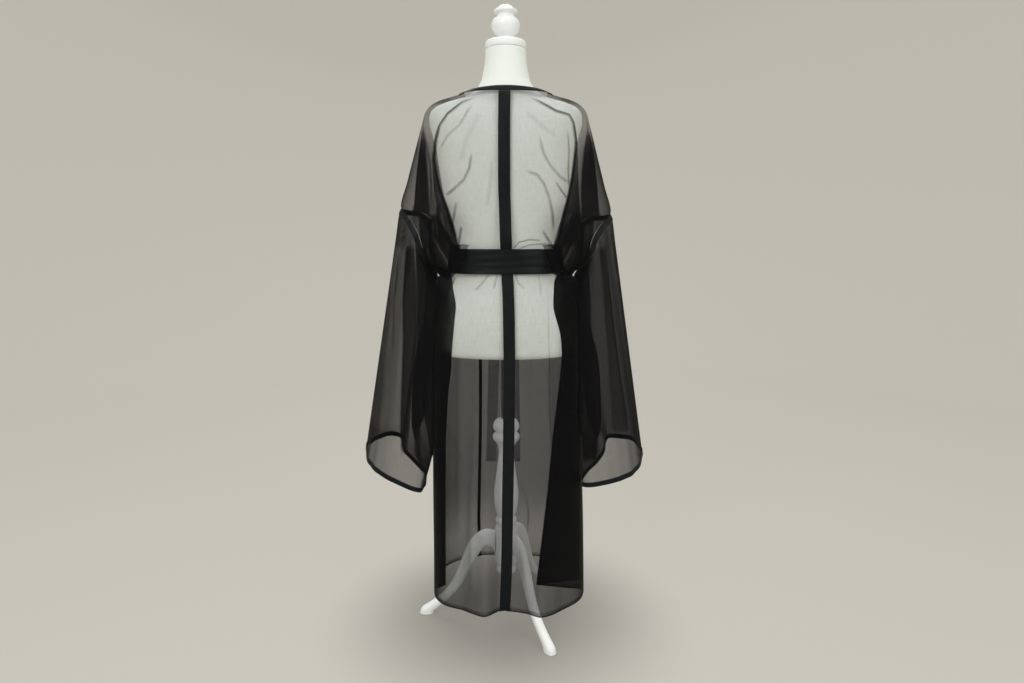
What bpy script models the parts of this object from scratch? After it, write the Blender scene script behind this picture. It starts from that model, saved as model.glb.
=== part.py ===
"""Sheer open robe with satin bindings, worn by a limbless dress form on a turned three-legged stand.

The front faces -Y, the wearer's left is +X and the feet stand on z = 0. Sizes are in centimetres
and become metres where a mesh is made.
"""

import math
from collections import namedtuple

import bmesh
import bpy
from mathutils import Vector

CM = 0.01
AXIS_OFFSET = -0.45
CLOTH_WALL = 0.12
BAND_WALL = 0.1
SASH_WALL = 0.24
SEAM_GAP = 0.03
BODY_CLEARANCE = 0.34
OVERLAP_LIFT = 0.4

PANEL_COLUMNS = 10
PLEAT_COLUMNS = 3
SLEEVE_RINGS = 11
STRAND_STEPS = 3
FORM_SIDES = 28
TURNED_SIDES = 18
LEG_SIDES = 10
SASH_SIDES = 40
KNOT_SIDES = 12

CENTRE_BAND_WIDTH = 2.7
EDGE_BAND_WIDTH = 1.2
SLEEVE_BAND_WIDTH = 1.3
NECK_BAND_GAP = 0.03
TAIL_WIDTH = 2.9
TAIL_END_HEIGHT = 36.0
SASH_BOTTOM = 90.1
SASH_TOP = 96.0
SASH_EASE = 0.22
SASH_FRONT_EASE = 0.2
SASH_SHARES = [0.0, 0.3, 0.7, 1.0]
RIM_GAP = 0.02
FOLD_GAP = 0.1
PLEAT_STEP = 0.36
PLEAT_CLEARANCE = 0.7
LEAST_PLEAT = 0.5
SLEEVE_CLEARANCE = 0.5
SLEEVE_START = 0.13
CUFF_REACH = 60.0
STRAND_FLARE = 0.9
UNDERARM_REACH = 2.5
UNDERARM_ROOM = 0.16
SHOULDER_EASE = 0.1
COLLARBONE_EASE = 0.62
SHOULDER_EASE_START = 125.0
SHOULDER_EASE_END = 130.0
LAP_START = 2.6
LAP_END = 0.6
SHARP_ANGLE = math.radians(40)

# How square the robe's rings are: 2 is an ellipse, above that the corners fill out.
SKIRT_SQUARENESS = 2.3
SLEEVE_INNER_SQUARENESS = 2.8
BLOUSE_SQUARENESS = 2.2
CHEST_SQUARENESS = 2.1
ARMHOLE_SQUARENESS = 1.7
SHOULDER_SQUARENESS = 1.6
NECK_SQUARENESS = 2.1

# The share of the half width where the blouse begins and ends its drop at the side, and how late the
# rings above it slant down.
BLOUSE_DROP_START = 0.56
BLOUSE_DROP_END = 0.75
SLANT_POWER = 1.7

LEFT = 1
RIGHT = -1
BACK = 1
FRONT = -1
BACKWARD = Vector((0.0, 1.0, 0.3))
FORWARD = Vector((0.0, -1.0, 0.2))

FormSection = namedtuple("FormSection", "height half_width back front")
FORM_SECTIONS = [
    FormSection(70.0, 16.7, 11.2, 9.6),
    FormSection(71.0, 17.3, 11.6, 10.0),
    FormSection(75.0, 17.5, 11.7, 10.1),
    FormSection(79.0, 17.0, 11.5, 10.0),
    FormSection(83.0, 15.4, 10.8, 9.7),
    FormSection(87.0, 13.2, 9.7, 9.3),
    FormSection(90.5, 11.8, 9.1, 9.0),
    FormSection(94.0, 11.5, 8.9, 9.0),
    FormSection(98.0, 12.0, 9.0, 9.4),
    FormSection(103.0, 13.5, 9.3, 10.4),
    FormSection(109.0, 15.2, 9.8, 11.5),
    FormSection(114.0, 16.0, 10.0, 11.4),
    FormSection(119.0, 16.7, 10.0, 10.1),
    FormSection(123.0, 17.7, 9.5, 8.8),
    FormSection(126.5, 18.5, 8.8, 7.5),
    FormSection(128.6, 18.1, 8.1, 6.7),
    FormSection(129.8, 16.8, 7.6, 6.2),
    FormSection(130.7, 14.4, 7.3, 5.9),
    FormSection(131.5, 11.2, 7.0, 5.6),
    FormSection(132.4, 9.0, 6.6, 5.5),
    FormSection(133.8, 7.0, 6.0, 5.3),
    FormSection(136.0, 5.8, 5.4, 5.1),
    FormSection(140.0, 5.0, 4.9, 4.8),
    FormSection(143.0, 4.8, 4.8, 4.7),
]

# One row for each ring of the skirt, hem first: the height, how far the cloth stands off the middle
# at the back and the front, the two sides, where the side pleats' outer folds lie, how deep each pleat
# goes in, and how far back its inner edge hangs.
SkirtRow = namedtuple(
    "SkirtRow", "height back front left right fold_back fold_front left_pleat right_pleat pleat_back"
)
SKIRT_ROWS = [
    SkirtRow(8.0, 15.6, 17.6, 18.6, 19.9, 3.2, -2.6, 2.6, 12.0, 0.6),
    SkirtRow(20.0, 15.3, 17.3, 18.5, 19.7, 2.9, -2.4, 2.7, 10.6, 1.6),
    SkirtRow(35.0, 14.8, 16.6, 18.5, 19.3, 2.5, -2.1, 3.0, 8.7, 2.8),
    SkirtRow(49.0, 14.0, 15.6, 18.4, 18.6, 2.1, -1.9, 3.3, 6.9, 4.0),
    SkirtRow(60.0, 13.2, 14.6, 18.3, 18.3, 1.8, -1.6, 4.0, 5.5, 5.4),
    SkirtRow(67.0, 12.7, 13.9, 18.3, 18.3, 1.2, -0.9, 4.9, 4.9, 6.5),
    SkirtRow(71.0, 12.5, 13.5, 18.3, 18.3, 0.4, -0.2, 5.3, 4.8, 7.0),
    SkirtRow(76.0, 12.2, 12.8, 18.3, 18.4, 0.3, -0.1, 5.8, 5.4, 7.0),
    SkirtRow(81.0, 11.8, 12.0, 17.8, 18.0, 0.3, -0.1, 5.8, 6.4, 7.0),
    SkirtRow(85.5, 10.8, 11.2, 16.5, 16.6, 0.3, -0.1, 5.1, 5.8, 6.0),
    SkirtRow(88.5, 10.0, 10.4, 14.2, 14.3, 0.4, -0.3, 2.9, 3.6, 4.5),
    SkirtRow(90.2, 9.6, 9.9, 12.7, 12.7, 0.4, -0.3, 1.1, 1.4, 3.0),
    SkirtRow(93.0, 9.4, 9.6, 12.1, 12.1, 0.0, 0.0, 0.0, 0.0, 0.0),
    SkirtRow(95.8, 9.5, 9.8, 12.3, 12.3, 0.0, 0.0, 0.0, 0.0, 0.0),
]

# The blouse of cloth over the sash: it rises at the middle, and at the sides it folds over the
# sash's top edge, hangs down outside it and turns up again.
BlouseRow = namedtuple("BlouseRow", "height back front side side_height")
BLOUSE_ROWS = [
    BlouseRow(96.7, 9.8, 10.1, 13.0, 97.1),
    BlouseRow(97.3, 10.3, 10.5, 14.1, 95.8),
    BlouseRow(97.8, 10.5, 10.8, 14.7, 90.8),
    BlouseRow(98.4, 10.6, 11.1, 15.7, 90.4),
    BlouseRow(99.2, 10.6, 11.2, 17.2, 92.1),
]

# The armhole edge from the underarm to its top: one strand on the back panel, one on the front.
ArmholeRow = namedtuple(
    "ArmholeRow", "height back front_height front back_x back_y back_z front_x front_y front_z"
)
ARMHOLE_ROWS = [
    ArmholeRow(100.4, 10.5, 99.6, 11.3, 18.7, 3.9, 93.6, 18.2, -2.9, 95.4),
    ArmholeRow(102.0, 10.4, 101.4, 11.6, 19.9, 5.7, 96.4, 18.5, -4.4, 99.2),
    ArmholeRow(104.0, 10.3, 103.4, 11.9, 20.8, 5.9, 99.6, 18.6, -5.0, 103.2),
    ArmholeRow(106.2, 10.3, 105.4, 12.1, 22.6, 4.4, 102.8, 21.6, -4.4, 105.4),
]

# The shoulder line from the top of the armhole to the side of the neck.
ShoulderRow = namedtuple("ShoulderRow", "height back front_height front line_x line_z")
SHOULDER_ROWS = [
    ShoulderRow(108.6, 10.4, 107.6, 12.2, 25.7, 105.8),
    ShoulderRow(112.0, 10.6, 110.2, 12.2, 24.0, 112.6),
    ShoulderRow(116.0, 10.7, 113.0, 12.0, 22.1, 119.4),
    ShoulderRow(120.0, 10.5, 115.6, 11.6, 20.4, 125.4),
    ShoulderRow(123.6, 10.1, 117.8, 11.2, 19.4, 128.6),
    ShoulderRow(126.4, 9.5, 119.6, 10.8, 18.0, 130.2),
    ShoulderRow(128.8, 8.9, 121.2, 10.4, 15.9, 131.2),
    ShoulderRow(130.8, 8.3, 122.6, 10.0, 13.2, 131.9),
    ShoulderRow(132.2, 7.7, 123.6, 9.7, 11.3, 132.4),
    ShoulderRow(133.4, 7.1, 124.4, 9.5, 10.0, 132.9),
]
RIGHT_ARMHOLE_DROP = 1.4

# Where the centre back seam and the two front edges run, by height.
CentreLine = namedtuple("CentreLine", "height back_seam left_edge right_edge")
CENTRE_LINES = [
    CentreLine(7.0, 0.3, 7.3, 8.2),
    CentreLine(20.0, -0.2, 7.5, 8.4),
    CentreLine(50.0, -0.7, 6.8, 7.7),
    CentreLine(70.0, -0.9, 6.6, 7.5),
    CentreLine(84.0, -0.7, 6.3, 7.2),
    CentreLine(93.0, -0.2, 6.0, 6.9),
    CentreLine(97.5, -0.1, 6.0, 6.4),
    CentreLine(104.0, 0.1, 6.3, 3.0),
    CentreLine(110.0, 0.3, 6.8, -0.8),
    CentreLine(116.0, 0.3, 7.6, -4.6),
    CentreLine(120.0, 0.3, 8.2, -6.8),
    CentreLine(122.6, 0.3, 8.8, -8.3),
    CentreLine(123.6, 0.3, 9.2, -9.0),
    CentreLine(124.4, 0.3, 9.75, -9.7),
    CentreLine(133.4, 0.2, 9.75, -9.7),
]

# Soft vertical folds in the skirt's back, deepest at the hem.
SkirtFold = namedtuple("SkirtFold", "x half_width depth")
SKIRT_FOLDS = [
    SkirtFold(5.4, 3.0, 1.6),
    SkirtFold(0.9, 2.4, -2.0),
    SkirtFold(-3.6, 2.6, -1.3),
    SkirtFold(-9.4, 4.2, 2.6),
    SkirtFold(11.5, 2.4, -0.6),
]
FOLD_TOP_HEIGHT = 74.0
FOLD_POWER = 1.3

# The cuff's edge, from its outermost point round the back to the inner side and back along the front.
CuffPoint = namedtuple("CuffPoint", "x y z")
CUFFS = {
    LEFT: {
        BACK: [
            CuffPoint(36.1, -0.4, 45.2),
            CuffPoint(35.2, 3.6, 42.8),
            CuffPoint(32.6, 6.6, 41.0),
            CuffPoint(29.4, 8.7, 39.7),
            CuffPoint(26.0, 9.8, 38.5),
            CuffPoint(23.0, 9.9, 37.1),
            CuffPoint(21.2, 8.6, 36.3),
            CuffPoint(20.3, 5.2, 37.2),
        ],
        FRONT: [
            CuffPoint(20.3, 5.2, 37.2),
            CuffPoint(20.9, 1.4, 38.6),
            CuffPoint(24.0, -3.2, 39.7),
            CuffPoint(27.6, -7.6, 41.6),
            CuffPoint(28.9, -11.0, 44.8),
            CuffPoint(31.4, -9.0, 46.0),
            CuffPoint(34.3, -4.8, 45.9),
            CuffPoint(36.1, -0.4, 45.2),
        ],
    },
    RIGHT: {
        BACK: [
            CuffPoint(35.2, -0.4, 43.6),
            CuffPoint(34.0, 3.4, 41.2),
            CuffPoint(31.2, 6.6, 39.8),
            CuffPoint(28.0, 8.6, 39.2),
            CuffPoint(24.6, 10.0, 38.8),
            CuffPoint(21.2, 10.6, 38.4),
            CuffPoint(18.8, 9.6, 38.0),
            CuffPoint(19.2, 5.4, 38.4),
        ],
        FRONT: [
            CuffPoint(19.2, 5.4, 38.4),
            CuffPoint(21.2, 1.6, 39.4),
            CuffPoint(24.0, -2.4, 40.4),
            CuffPoint(26.4, -6.4, 42.0),
            CuffPoint(27.2, -10.2, 44.8),
            CuffPoint(30.4, -8.8, 45.2),
            CuffPoint(33.6, -5.4, 45.6),
            CuffPoint(35.2, -0.4, 43.6),
        ],
    },
}

# How far each of a sleeve's columns is moved from the straight line between armhole and cuff: the
# inner side lies over the skirt's back, and the wall in front of it doubles back in a deep fold.
SleeveShift = namedtuple("SleeveShift", "lean_x lean_y fold_x")
SLEEVE_SHIFTS = {
    11: SleeveShift(-0.2, 0.6, 0.0),
    12: SleeveShift(-0.6, 1.4, 0.0),
    13: SleeveShift(-1.2, 2.6, 0.0),
    14: SleeveShift(-1.8, 3.8, 0.0),
    15: SleeveShift(-2.1, 4.4, 0.0),
    16: SleeveShift(-1.5, 3.4, 0.6),
    17: SleeveShift(-0.6, 1.6, 1.9),
    18: SleeveShift(0.0, 0.4, 2.8),
    19: SleeveShift(0.0, 0.0, 1.4),
    20: SleeveShift(0.0, 0.0, -2.0),
    21: SleeveShift(0.0, 0.0, -3.6),
    22: SleeveShift(0.0, 0.0, -2.4),
    23: SleeveShift(0.0, 0.0, -0.6),
}
SLEEVE_LEANS = {LEFT: 1.0, RIGHT: 0.6}
LEAN_FULL_FROM = 0.15
LEAN_FULL_TO = 0.8
FOLD_START = 0.2
FOLD_FULL_FROM = 0.55
FOLD_FULL_TO = 0.75

# Turned profiles, bottom first.
TurnedPoint = namedtuple("TurnedPoint", "height radius")
HUB_PROFILE = [
    TurnedPoint(11.0, 1.4),
    TurnedPoint(11.6, 2.3),
    TurnedPoint(12.6, 2.6),
    TurnedPoint(13.6, 2.2),
    TurnedPoint(14.2, 2.9),
    TurnedPoint(23.8, 2.9),
    TurnedPoint(24.6, 2.3),
    TurnedPoint(25.3, 2.7),
    TurnedPoint(26.2, 2.7),
    TurnedPoint(26.9, 2.2),
]
COLUMN_PROFILE = [
    TurnedPoint(26.93, 2.2),
    TurnedPoint(28.4, 2.7),
    TurnedPoint(31.0, 3.1),
    TurnedPoint(34.0, 3.1),
    TurnedPoint(38.0, 2.6),
    TurnedPoint(42.0, 2.1),
    TurnedPoint(45.0, 1.9),
    TurnedPoint(46.6, 2.5),
    TurnedPoint(47.6, 3.3),
    TurnedPoint(48.6, 3.4),
    TurnedPoint(49.6, 2.7),
    TurnedPoint(50.2, 3.2),
    TurnedPoint(51.4, 3.3),
    TurnedPoint(52.6, 2.6),
    TurnedPoint(53.0, 1.9),
]
FINIAL_PROFILE = [
    TurnedPoint(144.97, 1.9),
    TurnedPoint(145.4, 1.3),
    TurnedPoint(146.0, 1.5),
    TurnedPoint(146.8, 2.7),
    TurnedPoint(148.2, 3.4),
    TurnedPoint(149.6, 3.1),
    TurnedPoint(150.6, 2.1),
    TurnedPoint(151.0, 2.0),
    TurnedPoint(151.4, 2.8),
    TurnedPoint(151.9, 2.8),
    TurnedPoint(152.3, 2.0),
    TurnedPoint(152.9, 1.5),
    TurnedPoint(153.2, 0.7),
]
NECK_CAP_RADIUS = 4.8
NECK_CAP_HEIGHT = 1.9
POLE_RADIUS = 1.3

KNOT_MIDDLE = 0.3
KNOT_HALF_WIDTH = 2.6
KNOT_HALF_HEIGHT = 2.2
KNOT_DEPTH = 2.2
KNOT_ROUNDNESS = 0.95
KNOT_SQUARENESS = 3.2
KNOT_SECTIONS = [0.0, 0.25, 0.5, 0.75, 1.0]
TAIL_TOP = 90.6
TAIL_WALL = 0.16
TAIL_STAND_OFF = KNOT_DEPTH / 2
TAIL_SPREAD = 0.55
TAIL_PINCH = 0.72
TAIL_HEIGHTS = [TAIL_TOP, 88.6, 86.0, 80.0, 71.0, 61.0, 49.0, TAIL_END_HEIGHT]

TailLine = namedtuple("TailLine", "top_x end_x")
TAIL_LINES = {
    "sash_tail_left": TailLine(1.75, 4.4),
    "sash_tail_right": TailLine(-1.15, -2.4),
}

LegStation = namedtuple("LegStation", "reach height tilt half_deep half_wide")
LEG_STATIONS = [
    LegStation(2.93, 19.8, 90.0, 3.1, 1.35),
    LegStation(4.8, 20.8, 72.0, 2.5, 1.3),
    LegStation(7.0, 19.9, 40.0, 2.1, 1.25),
    LegStation(9.2, 16.6, 22.0, 1.8, 1.2),
    LegStation(11.2, 12.2, 22.0, 1.5, 1.15),
    LegStation(13.4, 7.9, 30.0, 1.3, 1.1),
    LegStation(16.2, 4.6, 46.0, 1.15, 1.1),
    LegStation(19.2, 2.2, 40.0, 1.2, 1.15),
    LegStation(20.9, 0.9, 12.0, 1.7, 1.3),
    LegStation(21.2, 0.0, 0.0, 1.8, 1.35),
]
LEG_COUNT = 3

COLOURS = {
    "organza": (0.012, 0.012, 0.014),
    "satin": (0.008, 0.009, 0.011),
    "form cloth": (0.82, 0.84, 0.78),
    "painted wood": (0.83, 0.86, 0.87),
    "metal pole": (0.55, 0.56, 0.57),
}


def blend(low, high, share):
    return low + (high - low) * share


def smooth_step(low, high, value):
    share = min(max((value - low) / (high - low), 0.0), 1.0)
    return share * share * (3 - 2 * share)


def row_at(table, height):
    """The table's row at this height, worked out between the two nearest rows."""
    if height <= table[0].height:
        return table[0]
    for below, above in zip(table, table[1:]):
        if height <= above.height:
            share = (height - below.height) / (above.height - below.height)
            return type(below)(*(blend(a, b, share) for a, b in zip(below, above)))
    return table[-1]


def pushed_out(x, y, half_width, back, front, squareness):
    """Moves a point that lies inside this section out to its edge."""
    depth = back if y >= 0 else front
    reach = (abs(x) / half_width) ** squareness + (abs(y) / depth) ** squareness
    if reach >= 1 or reach == 0:
        return x, y
    scale = reach ** (-1 / squareness)
    return x * scale, y * scale


def clear_of_form(x, y, z):
    """Keeps the cloth its clearance away from the dress form."""
    sections = [row_at(FORM_SECTIONS, z + step * BODY_CLEARANCE) for step in (-1, 0, 1)]
    if z > FORM_SECTIONS[-1].height:
        return x, y
    ease = SHOULDER_EASE if y > 0 else COLLARBONE_EASE
    room = BODY_CLEARANCE + ease * smooth_step(SHOULDER_EASE_START, SHOULDER_EASE_END, z)
    half_width = max(s.half_width for s in sections) + room
    back = max(s.back for s in sections) + room
    front = max(s.front for s in sections) + room
    return pushed_out(x, y, half_width, back, front, 2.0)


# A ring of the robe's body: the middle of the back and the front, the edges at the sides, how deep the
# sides fold in, how many of a panel's columns lie before that fold, whether the ring drops late at the
# sides, and how square it is.
Ring = namedtuple("Ring", "back_z front_z back front edges pleats columns hangs squareness pleat_back")


def body_rings():
    """The rings of the robe's body from hem to neck, with the edge of each panel on them."""
    rings = []
    for row in SKIRT_ROWS:
        folded = row.left_pleat > LEAST_PLEAT
        back_y, front_y = (row.fold_back, row.fold_front) if folded else (RIM_GAP, -RIM_GAP)
        edges = {}
        for side, width in ((LEFT, row.left), (RIGHT, row.right)):
            edges[side, BACK] = (width, back_y, row.height)
            edges[side, FRONT] = (width, front_y, row.height)
        pleats = {LEFT: row.left_pleat, RIGHT: row.right_pleat}
        columns = PANEL_COLUMNS if folded else PANEL_COLUMNS + PLEAT_COLUMNS
        rings.append(
            Ring(
                row.height, row.height, row.back, row.front, edges, pleats, columns, False,
                SKIRT_SQUARENESS, row.pleat_back,
            )
        )
    pleats = {LEFT: 0.0, RIGHT: 0.0}
    columns = PANEL_COLUMNS + PLEAT_COLUMNS
    for row in BLOUSE_ROWS:
        edges = {}
        for side in (LEFT, RIGHT):
            for face in (BACK, FRONT):
                edges[side, face] = (row.side, face * RIM_GAP, row.side_height)
        rings.append(
            Ring(
                row.height, row.height, row.back, row.front, edges, pleats, columns, True,
                BLOUSE_SQUARENESS, 0.0,
            )
        )
    for index, row in enumerate(ARMHOLE_ROWS):
        drop = RIGHT_ARMHOLE_DROP * (index + 1) / (len(ARMHOLE_ROWS) + 1)
        edges = {}
        for side, lower in ((LEFT, 0.0), (RIGHT, drop)):
            edges[side, BACK] = (row.back_x, row.back_y, row.back_z - lower)
            edges[side, FRONT] = (row.front_x, row.front_y, row.front_z - lower)
        hangs = index < len(ARMHOLE_ROWS) // 2
        squareness = blend(CHEST_SQUARENESS, ARMHOLE_SQUARENESS, index / (len(ARMHOLE_ROWS) - 1))
        rings.append(
            Ring(
                row.height, row.front_height, row.back, row.front, edges, pleats, columns, hangs,
                squareness, 0.0,
            )
        )
    for index, row in enumerate(SHOULDER_ROWS):
        drop = RIGHT_ARMHOLE_DROP * max(0.0, 1 - index / STRAND_STEPS)
        edges = {}
        for side, lower in ((LEFT, 0.0), (RIGHT, drop)):
            for face in (BACK, FRONT):
                edges[side, face] = (row.line_x, face * FOLD_GAP, row.line_z - lower)
        squareness = blend(SHOULDER_SQUARENESS, NECK_SQUARENESS, index / (len(SHOULDER_ROWS) - 1))
        rings.append(
            Ring(
                row.height, row.front_height, row.back, row.front, edges, pleats, columns, False,
                squareness, 0.0,
            )
        )
    return rings


def pleat_point(ring, face, own, inward):
    """A point of a side pleat, which doubles back under the back panel and over the form's hip."""
    width, edge_y, z = ring.edges[own, face]
    x = width - ring.pleats[own] * inward
    y = blend(edge_y, ring.pleat_back + face * FOLD_GAP, inward)
    if z >= FORM_SECTIONS[0].height - BODY_CLEARANCE:
        section = row_at(FORM_SECTIONS, z)
        room = PLEAT_CLEARANCE + (PLEAT_STEP if face == BACK else 0.0)
        share = x / (section.half_width + room)
        if share < 1:
            y = max(y, (section.back + room) * math.sqrt(1 - share * share))
    return own * x, y, z


def skirt_folds(x, z):
    """How far the folds of the skirt's back move the cloth at this place."""
    if z >= FOLD_TOP_HEIGHT:
        return 0.0
    share = (FOLD_TOP_HEIGHT - z) / (FOLD_TOP_HEIGHT - SKIRT_ROWS[0].height)
    moved = 0.0
    for fold in SKIRT_FOLDS:
        distance = (x - fold.x) / fold.half_width
        moved += fold.depth * math.exp(-distance * distance)
    return moved * share ** FOLD_POWER


def body_point(ring, face, side, turn):
    """A point of a ring. The turn is 0 at the middle and 1 at the side, below 0 past the middle, and
    from 1 to 2 along the fold that goes in at the side."""
    own = side if turn >= 0 else -side
    if turn > 1:
        return pleat_point(ring, face, own, turn - 1)
    width, edge_y, edge_z = ring.edges[own, face]
    middle_z, depth = (ring.back_z, ring.back) if face == BACK else (ring.front_z, ring.front)
    angle = abs(turn) * math.pi / 2
    across = math.sin(angle) ** (2 / ring.squareness)
    around = math.cos(angle) ** (2 / ring.squareness)
    drop = smooth_step(BLOUSE_DROP_START, BLOUSE_DROP_END, across) if ring.hangs else across ** SLANT_POWER
    x = own * width * across
    y = face * blend(abs(edge_y), depth, around)
    z = blend(middle_z, edge_z, drop)
    if face == BACK:
        y += skirt_folds(x, z) * around
    x, y = clear_of_form(x, y, z)
    return x, y, z


def turn_at(ring, face, side, x):
    """The turn at which a ring passes this distance from the middle plane."""
    own = side if x * side >= 0 else -side
    width = ring.edges[own, face][0]
    share = min(abs(x) / width, 1.0) ** (ring.squareness / 2)
    turn = math.asin(share) * 2 / math.pi
    return turn if own == side else -turn


def panel_grid(rings, face, side):
    """A panel's points: a row for each ring, from the centre line or the front edge to the side."""
    grid = []
    total = PANEL_COLUMNS + PLEAT_COLUMNS
    for ring in rings:
        middle_z = ring.back_z if face == BACK else ring.front_z
        lines = row_at(CENTRE_LINES, middle_z)
        if face == BACK:
            start_x = lines.back_seam + side * RIM_GAP
        else:
            start_x = lines.left_edge if side == LEFT else lines.right_edge
        strip = CENTRE_BAND_WIDTH / 2 if face == BACK else EDGE_BAND_WIDTH
        start = turn_at(ring, face, side, start_x)
        first = turn_at(ring, face, side, start_x + side * strip)
        first = min(first, blend(start, 1.0, 0.6))
        row = []
        for column in range(total + 1):
            if column == 0:
                turn = start
            elif column <= ring.columns:
                turn = blend(first, 1.0, (column - 1) / (ring.columns - 1))
            else:
                turn = 1 + (column - ring.columns) / (total - ring.columns)
            x, y, z = body_point(ring, face, side, turn)
            if face == FRONT and side == RIGHT:
                lap = smooth_step(lines.left_edge - LAP_START, lines.left_edge - LAP_END, x)
                y -= OVERLAP_LIFT * lap
            row.append((x, y, z))
        grid.append(row)
    return grid


def along(path, steps):
    """Points at equal steps along a path, its ends included."""
    lengths = [0.0]
    for a, b in zip(path, path[1:]):
        lengths.append(lengths[-1] + math.dist(a, b))
    points = []
    piece = 0
    for step in range(steps + 1):
        reach = lengths[-1] * step / steps
        while piece < len(path) - 2 and lengths[piece + 1] < reach:
            piece += 1
        share = (reach - lengths[piece]) / (lengths[piece + 1] - lengths[piece])
        points.append(tuple(blend(a, b, share) for a, b in zip(path[piece], path[piece + 1])))
    return points


def armhole_loop(rings, side):
    """The sleeve's upper edge: from the armhole's top down its back, under the arm and up its front."""
    first = len(SKIRT_ROWS) + len(BLOUSE_ROWS) - 1
    last = first + len(ARMHOLE_ROWS) + 1
    strands = {}
    for face in (BACK, FRONT):
        path = [body_point(ring, face, side, 1.0) for ring in rings[first : last + 1]]
        strand = []
        for a, b in zip(path, path[1:]):
            for step in range(STRAND_STEPS):
                strand.append(tuple(blend(p, q, step / STRAND_STEPS) for p, q in zip(a, b)))
        strand.append(path[-1])
        strands[face] = strand
    return strands[BACK][::-1][:-1] + strands[FRONT][:-1]


def cuff_loop(side):
    """The cuff's edge with the same order and number of points as the armhole's."""
    steps = (len(ARMHOLE_ROWS) + 1) * STRAND_STEPS
    back = along(CUFFS[side][BACK], steps)
    front = along(CUFFS[side][FRONT], steps)
    return [(side * x, y, z) for x, y, z in back[:-1] + front[:-1]]


def clear_of_skirt(side, x, y, z):
    """Keeps a sleeve's inner wall just outside the skirt."""
    if z > SKIRT_ROWS[-3].height:
        return x, y
    row = row_at(SKIRT_ROWS, z)
    width = row.left if side == LEFT else row.right
    room = SLEEVE_CLEARANCE
    return pushed_out(x, y, width + room, row.back + room, row.front + room, SLEEVE_INNER_SQUARENESS)


def sleeve_shift(side, column, share):
    """How far a sleeve's inner side is moved at this share of its length."""
    if column not in SLEEVE_SHIFTS:
        return Vector((0.0, 0.0, 0.0))
    shift = SLEEVE_SHIFTS[column]
    lean = SLEEVE_LEANS[side] * smooth_step(0.0, LEAN_FULL_FROM, share)
    lean *= 1 - smooth_step(LEAN_FULL_TO, 1.0, share)
    fold = smooth_step(FOLD_START, FOLD_FULL_FROM, share) * (1 - smooth_step(FOLD_FULL_TO, 1.0, share))
    return Vector((side * (shift.lean_x * lean + shift.fold_x * fold), shift.lean_y * lean, 0.0))


def sleeve_grid(rings, side):
    """A sleeve's rings: two along the armhole, a band's width apart, then evenly to the cuff's band."""
    upper = armhole_loop(rings, side)
    lower = cuff_loop(side)
    count = len(upper)
    seam = []
    band_end = []
    for j in range(count):
        start = Vector(upper[j])
        along_edge = (Vector(upper[(j + 1) % count]) - Vector(upper[j - 1])).normalized()
        down = (Vector(lower[j]) - start).normalized()
        down += Vector((side * STRAND_FLARE * abs(along_edge.z), 0.0, 0.0))
        away = (down - along_edge * down.dot(along_edge)).normalized()
        from_underarm = (j - count / 2) / UNDERARM_REACH
        room = SLEEVE_START + UNDERARM_ROOM * math.exp(-from_underarm * from_underarm)
        seam.append(start + away * room)
        band_end.append(start + away * (room + SLEEVE_BAND_WIDTH))
    grid = [seam]
    last = 1 - SLEEVE_BAND_WIDTH / CUFF_REACH
    shares = [last * step / SLEEVE_RINGS for step in range(SLEEVE_RINGS + 1)] + [1.0]
    for share in shares:
        straight = [Vector(b).lerp(Vector(c), share) for b, c in zip(band_end, lower)]
        grid.append([point + sleeve_shift(side, j, share) for j, point in enumerate(straight)])
    cleared = []
    for ring in grid:
        cleared.append([(*clear_of_skirt(side, p.x, p.y, p.z), p.z) for p in ring])
    return cleared


def grid_normals(grid, closed):
    """The direction square to a sheet at each of its points."""
    rows = len(grid)
    columns = len(grid[0])
    normals = []
    for i in range(rows):
        line = []
        for j in range(columns):
            before = (j - 1) % columns if closed else max(j - 1, 0)
            after = (j + 1) % columns if closed else min(j + 1, columns - 1)
            a = Vector(grid[i][after]) - Vector(grid[i][before])
            b = Vector(grid[min(i + 1, rows - 1)][j]) - Vector(grid[max(i - 1, 0)][j])
            line.append(a.cross(b).normalized())
        normals.append(line)
    return normals


def moved_out(grid, distance, closed=False, outward=None):
    """A sheet's points moved square to it, to the side that outward points to."""
    normals = grid_normals(grid, closed)
    moved = []
    for row, line in zip(grid, normals):
        moved.append([])
        for point, normal in zip(row, line):
            sign = -1.0 if outward is not None and normal.dot(outward) < 0 else 1.0
            moved[-1].append(tuple(Vector(point) + normal * distance * sign))
    return moved


def make_material(name, roughness, metallic=0.0):
    material = bpy.data.materials.new(name)
    material.use_nodes = True
    shader = material.node_tree.nodes["Principled BSDF"]
    shader.inputs["Base Color"].default_value = (*COLOURS[name], 1.0)
    shader.inputs["Roughness"].default_value = roughness
    shader.inputs["Metallic"].default_value = metallic
    return material


def add_object(name, mesh, material):
    mesh.materials.append(material.copy())
    piece = bpy.data.objects.new(name, mesh)
    robe.objects.link(piece)
    piece.parent = stand_axis
    return piece


def add_mesh(name, points, faces, material):
    mesh = bpy.data.meshes.new(name)
    mesh.from_pydata([tuple(value * CM for value in point) for point in points], [], faces)
    mesh.shade_smooth()
    mesh.set_sharp_from_angle(angle=SHARP_ANGLE)
    return add_object(name, mesh, material)


def add_sheet(name, grid, wall, material, closed=False):
    """Cloth: an open surface through a grid of points, given its wall by Solidify."""
    rows = len(grid)
    columns = len(grid[0])
    faces = []
    for i in range(rows - 1):
        for j in range(columns if closed else columns - 1):
            k = (j + 1) % columns
            faces.append((i * columns + j, i * columns + k, (i + 1) * columns + k, (i + 1) * columns + j))
    piece = add_mesh(name, [point for row in grid for point in row], faces, material)
    wall_of_cloth = piece.modifiers.new("wall", "SOLIDIFY")
    wall_of_cloth.thickness = wall * CM
    wall_of_cloth.offset = 0.0
    return piece


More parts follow.
